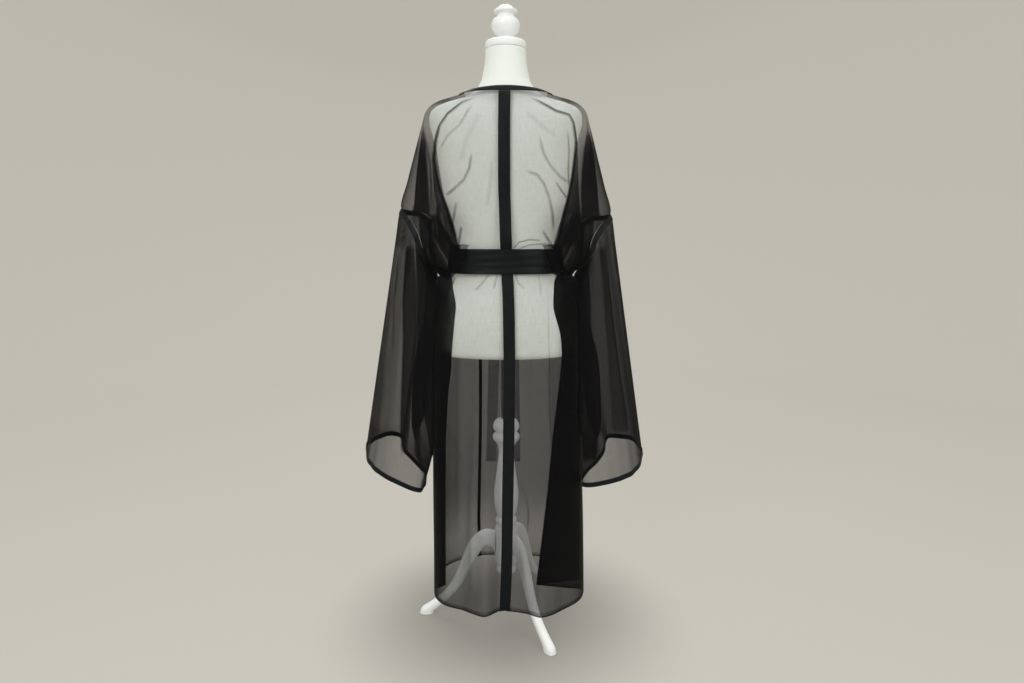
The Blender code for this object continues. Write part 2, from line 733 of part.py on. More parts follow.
def add_loft(name, rings, material):
    """A solid through closed rings of equal count, with a flat cap at each end."""
    count = len(rings[0])
    faces = [tuple(reversed(range(count)))]
    for i in range(len(rings) - 1):
        for j in range(count):
            k = (j + 1) % count
            faces.append((i * count + j, i * count + k, (i + 1) * count + k, (i + 1) * count + j))
    faces.append(tuple((len(rings) - 1) * count + j for j in range(count)))
    piece = add_mesh(name, [point for ring in rings for point in ring], faces, material)
    shape = bmesh.new()
    shape.from_mesh(piece.data)
    bmesh.ops.recalc_face_normals(shape, faces=shape.faces)
    shape.to_mesh(piece.data)
    shape.free()
    return piece


def add_turned(name, profile, material):
    """A turned piece: its profile, spun round the axis by Screw."""
    outline = [(0.0, 0.0, profile[-1].height)]
    outline += [(p.radius, 0.0, p.height) for p in reversed(profile)]
    outline.append((0.0, 0.0, profile[0].height))
    mesh = bpy.data.meshes.new(name)
    edges = [(i, i + 1) for i in range(len(outline) - 1)]
    mesh.from_pydata([tuple(value * CM for value in point) for point in outline], edges, [])
    piece = add_object(name, mesh, material)
    turning = piece.modifiers.new("turning", "SCREW")
    turning.steps = TURNED_SIDES
    turning.render_steps = TURNED_SIDES
    turning.use_merge_vertices = True
    turning.merge_threshold = 0.0001
    return piece


def add_cylinder(name, radius, bottom, top, material):
    bpy.ops.mesh.primitive_cylinder_add(vertices=TURNED_SIDES, radius=radius * CM, depth=(top - bottom) * CM)
    piece = bpy.context.object
    piece.name = name
    piece.data.name = name
    for collection in list(piece.users_collection):
        collection.objects.unlink(piece)
    robe.objects.link(piece)
    piece.parent = stand_axis
    piece.location = (0.0, 0.0, (top + bottom) / 2 * CM)
    piece.data.shade_smooth()
    piece.data.set_sharp_from_angle(angle=SHARP_ANGLE)
    piece.data.materials.append(material.copy())
    return piece


def add_form():
    rings = []
    for section in FORM_SECTIONS:
        ring = []
        for step in range(FORM_SIDES):
            angle = 2 * math.pi * step / FORM_SIDES
            depth = section.back if math.sin(angle) > 0 else section.front
            ring.append((section.half_width * math.cos(angle), depth * math.sin(angle), section.height))
        rings.append(ring)
    add_loft("form_torso", rings, form_cloth)
    cap_bottom = FORM_SECTIONS[-1].height + SEAM_GAP
    add_cylinder("form_neck_cap", NECK_CAP_RADIUS, cap_bottom, cap_bottom + NECK_CAP_HEIGHT, painted_wood)
    add_turned("form_finial", FINIAL_PROFILE, painted_wood)


def add_stand():
    column_top = COLUMN_PROFILE[-1].height
    add_turned("stand_hub", HUB_PROFILE, painted_wood)
    add_turned("stand_column", COLUMN_PROFILE, painted_wood)
    add_cylinder(
        "stand_pole", POLE_RADIUS, column_top + SEAM_GAP, FORM_SECTIONS[0].height - SEAM_GAP, pole_metal
    )
    for number in range(LEG_COUNT):
        heading = 2 * math.pi * number / LEG_COUNT
        rings = []
        for station in LEG_STATIONS:
            tilt = math.radians(station.tilt)
            ring = []
            for step in range(LEG_SIDES):
                angle = 2 * math.pi * step / LEG_SIDES
                deep = station.half_deep * math.cos(angle)
                wide = station.half_wide * math.sin(angle)
                reach = station.reach + deep * math.cos(tilt)
                height = station.height + deep * math.sin(tilt)
                x = reach * math.cos(heading) - wide * math.sin(heading)
                y = reach * math.sin(heading) + wide * math.cos(heading)
                ring.append((x, y, height))
            rings.append(ring)
        add_loft(f"stand_leg_{number + 1}", rings, painted_wood)


def add_robe():
    rings = body_rings()
    names = {(BACK, LEFT): "back_left", (BACK, RIGHT): "back_right"}
    names.update({(FRONT, LEFT): "front_left", (FRONT, RIGHT): "front_right"})
    panels = {}
    for (face, side), name in names.items():
        panels[face, side] = panel_grid(rings, face, side)
        add_sheet(name, panels[face, side], CLOTH_WALL, organza)
    add_panel_bands(panels)
    add_sleeves(rings)
    add_sash()


def middle_of(a, b):
    return tuple((p + q) / 2 for p, q in zip(a, b))


def add_panel_bands(panels):
    """The satin bands on the body: centre back, neck and the two front edges."""
    lift = CLOTH_WALL / 2 + SEAM_GAP + BAND_WALL / 2
    whole_back = []
    for left, right in zip(panels[BACK, LEFT], panels[BACK, RIGHT]):
        whole_back.append(left[:0:-1] + [middle_of(left[0], right[0])] + right[1:])
    seam = len(whole_back[0]) // 2
    centre = moved_out([row[seam - 1 : seam + 2] for row in whole_back[:-1]], lift, outward=BACKWARD)
    below = centre[-2]
    centre[-1] = [tuple(blend(p, q, NECK_BAND_GAP) for p, q in zip(a, b)) for a, b in zip(centre[-1], below)]
    add_sheet("band_centre_back", centre, BAND_WALL, satin)
    add_sheet("band_neck", moved_out(whole_back[-2:], lift, outward=BACKWARD), BAND_WALL, satin)
    for side, name in ((LEFT, "band_front_left"), (RIGHT, "band_front_right")):
        strip = moved_out([row[:2] for row in panels[FRONT, side]], lift, outward=FORWARD)
        add_sheet(name, strip, BAND_WALL, satin)


def add_sleeves(rings):
    """The sleeves, with a satin band at each armhole and each cuff."""
    lift = CLOTH_WALL / 2 + SEAM_GAP + BAND_WALL / 2
    for side, word in ((LEFT, "left"), (RIGHT, "right")):
        grid = sleeve_grid(rings, side)
        add_sheet(f"sleeve_{word}", grid, CLOTH_WALL, organza, closed=True)
        outer = moved_out(grid, -side * lift, closed=True)
        add_sheet(f"band_armhole_{word}", outer[:2], BAND_WALL, satin, closed=True)
        add_sheet(f"band_cuff_{word}", outer[-2:], BAND_WALL, satin, closed=True)


def add_sash():
    """The sash round the waist, its knot at the front and its two hanging ends."""
    lift = CLOTH_WALL / 2 + SEAM_GAP + SASH_WALL / 2 + SASH_EASE
    power = 2 / SKIRT_SQUARENESS
    grid = []
    for share in SASH_SHARES:
        height = blend(SASH_BOTTOM, SASH_TOP, share)
        row = row_at(SKIRT_ROWS, height)
        back = row.back + lift
        front = row.front + lift + OVERLAP_LIFT + SASH_FRONT_EASE
        ring = []
        for step in range(SASH_SIDES):
            angle = 2 * math.pi * step / SASH_SIDES
            depth = back if math.sin(angle) > 0 else front
            x = (row.left + lift) * math.copysign(abs(math.cos(angle)) ** power, math.cos(angle))
            y = depth * math.copysign(abs(math.sin(angle)) ** power, math.sin(angle))
            ring.append((x, y, height))
        grid.append(ring)
    add_sheet("sash", grid, SASH_WALL, satin, closed=True)
    knot_back = -(grid[1][SASH_SIDES * 3 // 4][1]) + SASH_WALL / 2 + SEAM_GAP
    add_knot(knot_back)
    for name, line in TAIL_LINES.items():
        tail = []
        for height in TAIL_HEIGHTS:
            share = (TAIL_TOP - height) / (TAIL_TOP - TAIL_END_HEIGHT)
            row = row_at(SKIRT_ROWS, height)
            depth = max(row.front, knot_back) + TAIL_STAND_OFF
            middle = blend(line.top_x, line.end_x, share ** TAIL_SPREAD)
            half = TAIL_WIDTH / 2 * (TAIL_PINCH if height == TAIL_TOP else 1.0)
            tail.append([(middle - half, -depth, height), (middle + half, -depth, height)])
        add_sheet(name, tail, TAIL_WALL, satin)


def add_knot(back):
    """The knot: a rounded pillow, flat towards the sash and along its bottom."""
    power = 2 / KNOT_SQUARENESS
    flat = math.cos(math.pi / KNOT_SIDES) ** power
    rings = []
    for share in KNOT_SECTIONS:
        size = math.sqrt(1 - (KNOT_ROUNDNESS * (2 * share - 1)) ** 2)
        ring = []
        for step in range(KNOT_SIDES):
            angle = 2 * math.pi * (step + 0.5) / KNOT_SIDES
            across = math.copysign(abs(math.cos(angle)) ** power, math.cos(angle))
            up = math.copysign(abs(math.sin(angle)) ** power, math.sin(angle))
            x = KNOT_MIDDLE + KNOT_HALF_WIDTH * size * across
            z = TAIL_TOP + SEAM_GAP + KNOT_HALF_HEIGHT * (1 + size * up / flat)
            ring.append((x, -back - KNOT_DEPTH * share, z))
        rings.append(ring)
    add_loft("sash_knot", rings, satin)


for old in list(bpy.data.objects):
    bpy.data.objects.remove(old)
robe = bpy.data.collections.new("robe_on_dress_form")
bpy.context.scene.collection.children.link(robe)
stand_axis = bpy.data.objects.new("stand_axis", None)
stand_axis.location = (AXIS_OFFSET * CM, 0.0, 0.0)
robe.objects.link(stand_axis)

organza = make_material("organza", 0.6)
satin = make_material("satin", 0.4)
form_cloth = make_material("form cloth", 0.8)
painted_wood = make_material("painted wood", 0.45)
pole_metal = make_material("metal pole", 0.35, 1.0)

add_form()
add_stand()
add_robe()
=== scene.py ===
import math
from collections import namedtuple

import bmesh
import bpy
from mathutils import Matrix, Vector


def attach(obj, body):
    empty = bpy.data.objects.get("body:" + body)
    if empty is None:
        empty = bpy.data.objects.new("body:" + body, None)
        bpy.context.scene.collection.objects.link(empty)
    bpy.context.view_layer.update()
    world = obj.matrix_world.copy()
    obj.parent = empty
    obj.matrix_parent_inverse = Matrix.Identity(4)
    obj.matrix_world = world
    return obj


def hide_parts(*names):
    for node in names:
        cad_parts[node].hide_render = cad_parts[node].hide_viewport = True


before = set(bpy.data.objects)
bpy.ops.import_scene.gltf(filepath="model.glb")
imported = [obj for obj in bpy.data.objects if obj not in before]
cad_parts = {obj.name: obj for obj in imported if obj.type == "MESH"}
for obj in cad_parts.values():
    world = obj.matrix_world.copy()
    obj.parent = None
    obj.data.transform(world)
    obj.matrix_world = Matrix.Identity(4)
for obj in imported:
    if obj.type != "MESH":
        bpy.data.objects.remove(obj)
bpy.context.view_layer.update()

# Lengths are in centimetres up to the moment a mesh is made. The front faces -Y, the wearer's left is +X.
cm = 0.01
left, right, back, front = 1, -1, 1, -1
sideNames = {left: "left", right: "right"}
faceNames = {back: "back", front: "front"}
axisX = -0.45  # the stand's axis


def linked(name, data):
    item = bpy.data.objects.new(name, data)
    bpy.context.scene.collection.objects.link(item)
    return item


view = {"place": (-0.0195, 1.75, 0.971), "tiltDown": 7.9, "lens": 24.61, "sensor": 36.0, "nearest": 0.05}
eye = bpy.data.cameras.new("camera")
eye.lens = view["lens"]
eye.sensor_width = view["sensor"]
eye.clip_start = view["nearest"]
eyeObject = linked("camera", eye)
eyeObject.location = view["place"]
eyeObject.rotation_euler = (math.radians(90 - view["tiltDown"]), 0.0, math.radians(180))
bpy.context.scene.camera = eyeObject


# Short ways to add and join shader nodes.
class Wiring:
    def __init__(self, name):
        self.material = bpy.data.materials.new(name)
        self.material.use_nodes = True
        self.nodes = self.material.node_tree.nodes
        self.links = self.material.node_tree.links
        self.shader = self.nodes["Principled BSDF"]
        self.output = self.nodes["Material Output"]

    def add(self, kind, **settings):
        node = self.nodes.new(kind)
        for key, value in settings.items():
            setattr(node, key, value)
        return node

    def join(self, source, target):
        self.links.new(source, target)

    def math(self, operation, a, b=None):
        node = self.add("ShaderNodeMath", operation=operation)
        for index, value in enumerate((a, b)):
            if value is None:
                continue
            if isinstance(value, (int, float)):
                node.inputs[index].default_value = value
            else:
                self.join(value, node.inputs[index])
        return node.outputs[0]

    def spread(self, value, low, high, toLow, toHigh, smooth=False):
        node = self.add("ShaderNodeMapRange")
        if smooth:
            node.interpolation_type = "SMOOTHSTEP"
        self.join(value, node.inputs["Value"])
        for name, number in (("From Min", low), ("From Max", high), ("To Min", toLow), ("To Max", toHigh)):
            node.inputs[name].default_value = number
        return node.outputs["Result"]

    def place(self, source, scale):
        mapping = self.add("ShaderNodeMapping")
        mapping.inputs["Scale"].default_value = scale
        self.join(source, mapping.inputs["Vector"])
        return mapping.outputs["Vector"]

    def noise(self, vector, scale, detail=2.0, roughness=0.5):
        node = self.add("ShaderNodeTexNoise")
        node.inputs["Scale"].default_value = scale
        node.inputs["Detail"].default_value = detail
        node.inputs["Roughness"].default_value = roughness
        self.join(vector, node.inputs["Vector"])
        return node.outputs["Fac"]

    def tint(self, value, dark, light):
        ramp = self.add("ShaderNodeMix", data_type="RGBA")
        ramp.inputs["A"].default_value = (*dark, 1.0)
        ramp.inputs["B"].default_value = (*light, 1.0)
        self.join(value, ramp.inputs["Factor"])
        return ramp.outputs["Result"]

    def bump(self, height, strength, distance):
        node = self.add("ShaderNodeBump")
        node.inputs["Strength"].default_value = strength
        node.inputs["Distance"].default_value = distance
        self.join(height, node.inputs["Height"])
        self.join(node.outputs["Normal"], self.shader.inputs["Normal"])

    def give(self, values):
        for name, value in values.items():
            self.shader.inputs[name].default_value = value

    def objectPoint(self):
        return self.add("ShaderNodeTexCoord").outputs["Object"]

    def clothPoint(self):
        return self.add("ShaderNodeUVMap", uv_map="cloth").outputs["UV"]


organza = {
    "letThroughFree": 0.39,
    "letThroughOnForm": 0.64,
    "slub": 0.07,
    "hem": 0.011,
    "hemLayers": 0.4,
    "hemEdge": 0.0025,
    "hemEdgeLayers": 1.5,
    "leastSlant": 0.28,
    "warp": (900.0, 40.0, 1.0),
    "weft": (34.0, 800.0, 1.0),
    "threadSpan": (0.7, 1.3),
    "dark": (0.0015, 0.0015, 0.0017),
    "light": (0.004, 0.004, 0.0044),
    "looks": {"Roughness": 0.6, "Specular IOR Level": 0.035, "Sheen Weight": 0.01, "Sheen Roughness": 0.5},
}


def makeOrganza():
    w = Wiring("organza")
    cover = w.add("ShaderNodeAttribute", attribute_name="cover").outputs["Fac"]
    through = w.spread(cover, 0.0, 1.0, organza["letThroughFree"], organza["letThroughOnForm"])
    cloth = w.clothPoint()
    warp = w.noise(w.place(cloth, organza["warp"]), 1.0)
    weft = w.noise(w.place(cloth, organza["weft"]), 1.0)
    threads = w.math("ADD", warp, weft)
    slub = w.spread(threads, *organza["threadSpan"], 1 - organza["slub"], 1 + organza["slub"])
    through = w.math("MULTIPLY", through, slub)
    layers = w.math("ADD", w.add("ShaderNodeAttribute", attribute_name="layers").outputs["Fac"], 1.0)
    up = w.add("ShaderNodeSeparateXYZ")
    w.join(cloth, up.inputs[0])
    for width, more in (("hem", "hemLayers"), ("hemEdge", "hemEdgeLayers")):
        below = w.math("LESS_THAN", up.outputs["Y"], organza[width])
        layers = w.math("ADD", layers, w.math("MULTIPLY", below, organza[more]))
    facing = w.add("ShaderNodeLayerWeight").outputs["Facing"]
    slant = w.math("MAXIMUM", w.math("SUBTRACT", 1.0, facing), organza["leastSlant"])
    free = w.math("SUBTRACT", 1.0, cover)
    slant = w.math("ADD", w.math("MULTIPLY", free, w.math("DIVIDE", 1.0, slant)), cover)
    through = w.math("POWER", through, w.math("MULTIPLY", layers, slant))
    w.join(w.math("SUBTRACT", 1.0, w.math("SQRT", through)), w.shader.inputs["Alpha"])
    w.join(w.tint(threads, organza["dark"], organza["light"]), w.shader.inputs["Base Color"])
    w.give(organza["looks"])
    path = w.add("ShaderNodeLightPath")
    lamp = w.math("MAXIMUM", path.outputs["Is Shadow Ray"], path.outputs["Is Diffuse Ray"])
    clear = w.add("ShaderNodeBsdfTransparent")
    mix = w.add("ShaderNodeMixShader")
    w.join(lamp, mix.inputs[0])
    w.join(w.shader.outputs[0], mix.inputs[1])
    w.join(clear.outputs[0], mix.inputs[2])
    w.join(mix.outputs[0], w.output.inputs["Surface"])
    return w.material


# The other surfaces: a fine grain, stretched along the piece, and a soft cloud of tone.
surfaces = {
    "satin": {
        "onCloth": True, "grain": (30.0, 1300.0, 1.0), "grainDetail": 1.0,
        "cloud": 35.0, "cloudDetail": 3.0,
        "dark": (0.0022, 0.0032, 0.0036), "light": (0.0078, 0.0102, 0.0112),
        "roughBy": "cloud", "rough": (0.36, 0.5), "bump": (0.25, 0.0003),
        "looks": {"Specular IOR Level": 0.12, "Sheen Weight": 0.02},
    },
    "formCloth": {
        "onCloth": False, "grain": (900.0, 900.0, 500.0), "grainDetail": 2.0,
        "cloud": 9.0, "cloudDetail": 3.0,
        "dark": (0.79, 0.84, 0.8), "light": (0.87, 0.915, 0.88),
        "roughBy": "grain", "rough": (0.7, 0.9), "bump": (0.2, 0.0004),
        "looks": {"Specular IOR Level": 0.3, "Sheen Weight": 0.1},
    },
    "paintedWood": {
        "onCloth": False, "grain": (60.0, 60.0, 9.0), "grainDetail": 3.0,
        "cloud": 14.0, "cloudDetail": 2.0,
        "dark": (0.84, 0.87, 0.88), "light": (0.9, 0.92, 0.92),
        "roughBy": "grain", "rough": (0.34, 0.5), "bump": (0.12, 0.0006), "looks": {},
    },
    "brushedPole": {
        "onCloth": False, "grain": (1200.0, 1200.0, 12.0), "grainDetail": 2.0, "cloud": None,
        "dark": (0.5, 0.51, 0.52), "light": (0.66, 0.67, 0.68),
        "roughBy": "grain", "rough": (0.3, 0.45), "bump": None, "looks": {"Metallic": 1.0},
    },
}


def makeSurface(name):
    surface = surfaces[name]
    w = Wiring(name)
    point = w.clothPoint() if surface["onCloth"] else w.objectPoint()
    tones = {"grain": w.noise(w.place(point, surface["grain"]), 1.0, surface["grainDetail"])}
    tones["cloud"] = tones["grain"]
    if surface["cloud"]:
        tones["cloud"] = w.noise(point, surface["cloud"], surface["cloudDetail"])
    w.join(w.tint(tones["cloud"], surface["dark"], surface["light"]), w.shader.inputs["Base Color"])
    w.join(w.spread(tones[surface["roughBy"]], 0.3, 0.7, *surface["rough"]), w.shader.inputs["Roughness"])
    w.give(surface["looks"])
    if surface["bump"]:
        w.bump(tones["grain"], *surface["bump"])
    return w.material


organzaCloth = makeOrganza()
satinCloth, formCloth, paintedWood, brushedPole = (makeSurface(name) for name in surfaces)
print("materials made")


def listed(kind, rows):
    return [kind(*row) for row in rows]


def blend(low, high, share):
    return low + (high - low) * share


def smoothStep(low, high, value):
    share = min(max((value - low) / (high - low), 0.0), 1.0)
    return share * share * (3 - 2 * share)


# Rises from 0 to 1 over the first span and falls back to 0 over the second.
def window(rise, fall, value):
    return smoothStep(*rise, value) * (1 - smoothStep(*fall, value))


def rowAt(table, height):
    if height <= table[0].height:
        return table[0]
    for below, above in zip(table, table[1:]):
        if height <= above.height:
            share = (height - below.height) / (above.height - below.height)
            return type(below)(*(blend(a, b, share) for a, b in zip(below, above)))
    return table[-1]


# A finer line through the same points, without corners. A list of steps has a number for each span.
def smoothLine(points, steps, closed=False):
    count = len(points)
    spans = count if closed else count - 1
    line = []
    for i in range(spans):
        spanSteps = steps[i] if isinstance(steps, list) else steps
        p1, p2 = points[i], points[(i + 1) % count]
        p0 = points[i - 1] if closed or i > 0 else p1 * 2 - p2
        p3 = points[(i + 2) % count] if closed or i < spans - 1 else p2 * 2 - p1
        a = max((p1 - p0).length, 1e-6) ** 0.5
        b = max((p2 - p1).length, 1e-6) ** 0.5
        c = max((p3 - p2).length, 1e-6) ** 0.5
        m1 = (p2 - p1) + ((p1 - p0) / a - (p2 - p0) / (a + b)) * b
        m2 = (p2 - p1) + ((p3 - p2) / c - (p3 - p1) / (b + c)) * b
        for step in range(spanSteps):
            t = step / spanSteps
            line.append(
                p1 * (2 * t**3 - 3 * t**2 + 1)
                + m1 * (t**3 - 2 * t**2 + t)
                + p2 * (3 * t**2 - 2 * t**3)
                + m2 * (t**3 - t**2)
            )
    if not closed:
        line.append(points[-1].copy())
    return line


def turnedRound(grid):
    return [list(line) for line in zip(*grid)]


# A grid refined in both directions. A closed grid is a tube: its rows run all the way round.
def finer(grid, alongSteps, acrossSteps, closed=False):
    tall = turnedRound([smoothLine(line, alongSteps) for line in turnedRound(grid)])
    return [smoothLine(row, acrossSteps, closed) for row in tall]


def gridNormals(grid, closed):
    rows = len(grid)
    columns = len(grid[0])
    normals = []
    for i in range(rows):
        line = []
        for j in range(columns):
            before = (j - 1) % columns if closed else max(j - 1, 0)
            after = (j + 1) % columns if closed else min(j + 1, columns - 1)
            a = grid[i][after] - grid[i][before]
            b = grid[min(i + 1, rows - 1)][j] - grid[max(i - 1, 0)][j]
            line.append(a.cross(b).normalized())
        normals.append(line)
    return normals


def movedOut(grid, distance, closed=False, outward=None):
    moved = []
    for row, line in zip(grid, gridNormals(grid, closed)):
        moved.append([])
        for point, normal in zip(row, line):
            sign = -1.0 if outward is not None and normal.dot(outward) < 0 else 1.0
            moved[-1].append(point + normal * (distance * sign))
    return moved


# Turns a bmesh in centimetres into a piece that rides on the body.
def addPiece(name, shape, material, wall=None, smooth=True):
    bmesh.ops.scale(shape, vec=(cm, cm, cm), verts=shape.verts)
    bmesh.ops.translate(shape, vec=(axisX * cm, 0.0, 0.0), verts=shape.verts)
    mesh = bpy.data.meshes.new(name)
    shape.to_mesh(mesh)
    shape.free()
    if smooth:
        mesh.shade_smooth()
        mesh.set_sharp_from_angle(angle=math.radians(50))
    mesh.materials.append(material)
    piece = linked(name, mesh)
    if wall:
        thick = piece.modifiers.new("wall", "SOLIDIFY")
        thick.thickness = wall * cm
        thick.offset = 0.0
    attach(piece, "root")
    return piece


# A bmesh grid laid on the points of a sheet or tube, with its own map in metres of cloth.
def gridShape(grid, closed=False, marks=None):
    columns = len(grid[0]) + (1 if closed else 0)
    rows = len(grid)
    shape = bmesh.new()
    bmesh.ops.create_grid(shape, x_segments=columns - 1, y_segments=rows - 1, size=1.0)
    shape.verts.ensure_lookup_table()
    clothMap = shape.loops.layers.uv.new("cloth")
    layers = {name: shape.verts.layers.float.new(name) for name in (marks or {})}
    for vert in shape.verts:
        i, j = divmod(vert.index, columns)
        jj = j % len(grid[0])
        vert.co = grid[i][jj]
        for name, layer in layers.items():
            vert[layer] = marks[name][i][jj]
    across = [0.0]
    middle = grid[rows // 2] + ([grid[rows // 2][0]] if closed else [])
    for a, b in zip(middle, middle[1:]):
        across.append(across[-1] + (b - a).length * cm)
    up = [0.0]
    column = len(grid[0]) // 2
    for a, b in zip(grid, grid[1:]):
        up.append(up[-1] + (b[column] - a[column]).length * cm)
    for face in shape.faces:
        for loop in face.loops:
            i, j = divmod(loop.vert.index, columns)
            loop[clothMap].uv = (across[j], up[i])
    if closed:
        bmesh.ops.remove_doubles(shape, verts=shape.verts, dist=1e-5)
    return shape


# A piece of cloth, laid on a grid of points.
def addSheet(name, grid, wall, material, closed=False, marks=None):
    piece = addPiece(name, gridShape(grid, closed, marks), material, wall)
    return piece


# A line of points, spun round the axis.
def spun(line, sides):
    shape = bmesh.new()
    verts = [shape.verts.new(point) for point in line]
    edges = [shape.edges.new(pair) for pair in zip(verts, verts[1:])]
    bmesh.ops.spin(
        shape, geom=verts + edges, cent=(0, 0, 0), axis=(0, 0, 1), dvec=(0, 0, 0),
        angle=2 * math.pi, steps=sides, use_merge=True,
    )
    bmesh.ops.remove_doubles(shape, verts=shape.verts, dist=1e-4)
    bmesh.ops.recalc_face_normals(shape, faces=shape.faces)
    return shape


# A solid through closed rings of points, capped flat at both ends.
def closedTube(grid):
    shape = gridShape(grid, closed=True)
    bmesh.ops.holes_fill(shape, edges=[edge for edge in shape.edges if edge.is_boundary], sides=0)
    bmesh.ops.recalc_face_normals(shape, faces=shape.faces)
    return shape


FormSection = namedtuple("FormSection", "height halfWidth back front")
formSections = listed(FormSection, [
    (70.0, 16.7, 11.2, 9.6), (71.0, 17.3, 11.6, 10.0), (75.0, 17.5, 11.7, 10.1), (79.0, 17.0, 11.5, 10.0),
    (83.0, 15.4, 10.8, 9.7), (87.0, 13.2, 9.7, 9.3), (90.5, 11.8, 9.1, 9.0), (94.0, 11.5, 8.9, 9.0),
    (98.0, 12.0, 9.0, 9.4), (103.0, 13.5, 9.3, 10.4), (109.0, 15.2, 9.8, 11.5), (114.0, 16.0, 10.0, 11.4),
    (119.0, 16.7, 10.0, 10.1), (123.0, 17.7, 9.5, 8.8), (126.5, 18.5, 8.8, 7.5), (128.6, 18.1, 8.1, 6.7),
    (129.8, 16.8, 7.6, 6.2), (130.7, 14.4, 7.3, 5.9), (131.5, 11.2, 7.0, 5.6), (132.4, 9.0, 6.6, 5.5),
    (133.8, 7.0, 6.0, 5.3), (136.0, 5.8, 5.4, 5.1), (140.0, 5.0, 4.9, 4.8), (143.0, 4.8, 4.8, 4.7),
])
# The cover's seams, as shares of the way round: centre back, centre front, both sides and four panel seams.
formShape = {
    "sides": 96,
    "rowSteps": 5,
    "seams": (0.0, 0.25, 0.5, 0.75, 0.17, 0.33, 0.67, 0.83),
    "seamDepth": 0.07,
    "seamHalfWidth": 0.25,
    "seamStart": (70.0, 72.0),
    "seamEnd": (128.0, 134.0),
    "girth": 75,
    "coverAway": (1.6, 5.0),
    "coverStart": (69.9, 70.5),
}


# How deep the seams pull the cover in.
def formSeams(angle):
    depth = 0.0
    for seam in formShape["seams"]:
        away = abs((angle / (2 * math.pi) - seam + 0.5) % 1.0 - 0.5) * formShape["girth"]
        depth += formShape["seamDepth"] * math.exp(-((away / formShape["seamHalfWidth"]) ** 2))
    return depth


def makeForm():
    steps = formShape["rowSteps"]
    heights = [s.height for s in formSections]
    rings = []
    fineSizes = smoothLine([Vector((s.halfWidth, s.back, s.front)) for s in formSections], steps)
    fineHeights = []
    for low, high in zip(heights, heights[1:]):
        fineHeights += [blend(low, high, step / steps) for step in range(steps)]
    fineHeights.append(heights[-1])
    for size, height in zip(fineSizes, fineHeights):
        ring = []
        for step in range(formShape["sides"]):
            angle = 2 * math.pi * step / formShape["sides"]
            depth = size.y if math.sin(angle) > 0 else size.z
            seam = formSeams(angle) * window(formShape["seamStart"], formShape["seamEnd"], height)
            point = Vector((size.x * math.cos(angle), depth * math.sin(angle), height))
            ring.append(point - Vector((point.x, point.y, 0.0)).normalized() * seam)
        rings.append(ring)
    piece = addPiece("form_torso_cover", closedTube(rings), formCloth)
    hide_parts("form_torso")


turnedShape = {"sides": 72, "rowSteps": 4}
TurnedPoint = namedtuple("TurnedPoint", "height radius")
turnedPieces = {
    "stand_hub": listed(TurnedPoint, [
        (11.0, 1.4), (11.6, 2.3), (12.6, 2.6), (13.6, 2.2), (14.2, 2.88), (19.0, 2.88), (23.8, 2.88),
        (24.6, 2.3), (25.3, 2.7), (26.2, 2.7), (26.9, 2.2),
    ]),
    "stand_column": listed(TurnedPoint, [
        (26.93, 2.2), (28.4, 2.7), (31.0, 3.1), (34.0, 3.1), (38.0, 2.6), (42.0, 2.1), (45.0, 1.9),
        (46.6, 2.5), (47.6, 3.3), (48.6, 3.4), (49.6, 2.7), (50.2, 3.2), (51.4, 3.3), (52.6, 2.6),
        (53.0, 1.9),
    ]),
    "form_finial": listed(TurnedPoint, [
        (144.97, 1.9), (145.4, 1.3), (146.0, 1.5), (146.8, 2.7), (148.2, 3.4), (149.6, 3.1), (150.6, 2.1),
        (151.0, 2.0), (151.4, 2.8), (151.9, 2.8), (152.3, 2.0), (152.9, 1.5), (153.2, 0.7),
    ]),
    "form_neck_cap": listed(TurnedPoint, [
        (143.05, 4.5), (143.2, 4.8), (144.6, 4.8), (144.92, 4.5),
    ]),
}

LegStation = namedtuple("LegStation", "reach height tilt halfDeep halfWide")
legStations = listed(LegStation, [
    (2.93, 19.8, 90.0, 3.1, 1.35), (4.8, 20.8, 72.0, 2.5, 1.3), (7.0, 19.9, 40.0, 2.1, 1.25),
    (9.2, 16.6, 22.0, 1.8, 1.2), (11.2, 12.2, 22.0, 1.5, 1.15), (13.4, 7.9, 30.0, 1.3, 1.1),
    (16.2, 4.6, 46.0, 1.15, 1.1), (19.2, 2.2, 40.0, 1.2, 1.15), (20.9, 0.9, 12.0, 1.7, 1.3),
    (21.2, 0.0, 0.0, 1.8, 1.35),
])
legShape = {"count": 3, "sides": 20, "squareness": 2.4, "rowSteps": 6}


def makeLeg(number):
    heading = 2 * math.pi * number / legShape["count"]
    rings = []
    power = 2 / legShape["squareness"]
    for station in legStations:
        tilt = math.radians(station.tilt)
        ring = []
        for step in range(legShape["sides"]):
            angle = 2 * math.pi * step / legShape["sides"]
            deep = station.halfDeep * math.copysign(abs(math.cos(angle)) ** power, math.cos(angle))
            wide = station.halfWide * math.copysign(abs(math.sin(angle)) ** power, math.sin(angle))
            reach = station.reach + deep * math.cos(tilt)
            x = reach * math.cos(heading) - wide * math.sin(heading)
            y = reach * math.sin(heading) + wide * math.cos(heading)
            ring.append(Vector((x, y, max(station.height + deep * math.sin(tilt), 0.0))))
        rings.append(ring)
    fine = turnedRound([smoothLine(line, legShape["rowSteps"]) for line in turnedRound(rings)])
    name = f"stand_leg_{number + 1}"
    piece = addPiece(name + "_finish", closedTube(fine), paintedWood)
    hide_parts(name)


def makeTurned(name):
    profile = [Vector((point.radius, 0.0, point.height)) for point in turnedPieces[name]]
    line = smoothLine(profile, turnedShape["rowSteps"])
    ends = [Vector((0.0, 0.0, point.z)) for point in (line[0], line[-1])]
    shape = spun([ends[0], *line, ends[1]], turnedShape["sides"])
    piece = addPiece(name + "_finish", shape, paintedWood)
    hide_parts(name)


makeForm()
for turnedName in turnedPieces:
    makeTurned(turnedName)
for legNumber in range(legShape["count"]):
    makeLeg(legNumber)
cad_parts["stand_pole"].data.materials.clear()
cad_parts["stand_pole"].data.materials.append(brushedPole)
print("dress form and stand made")


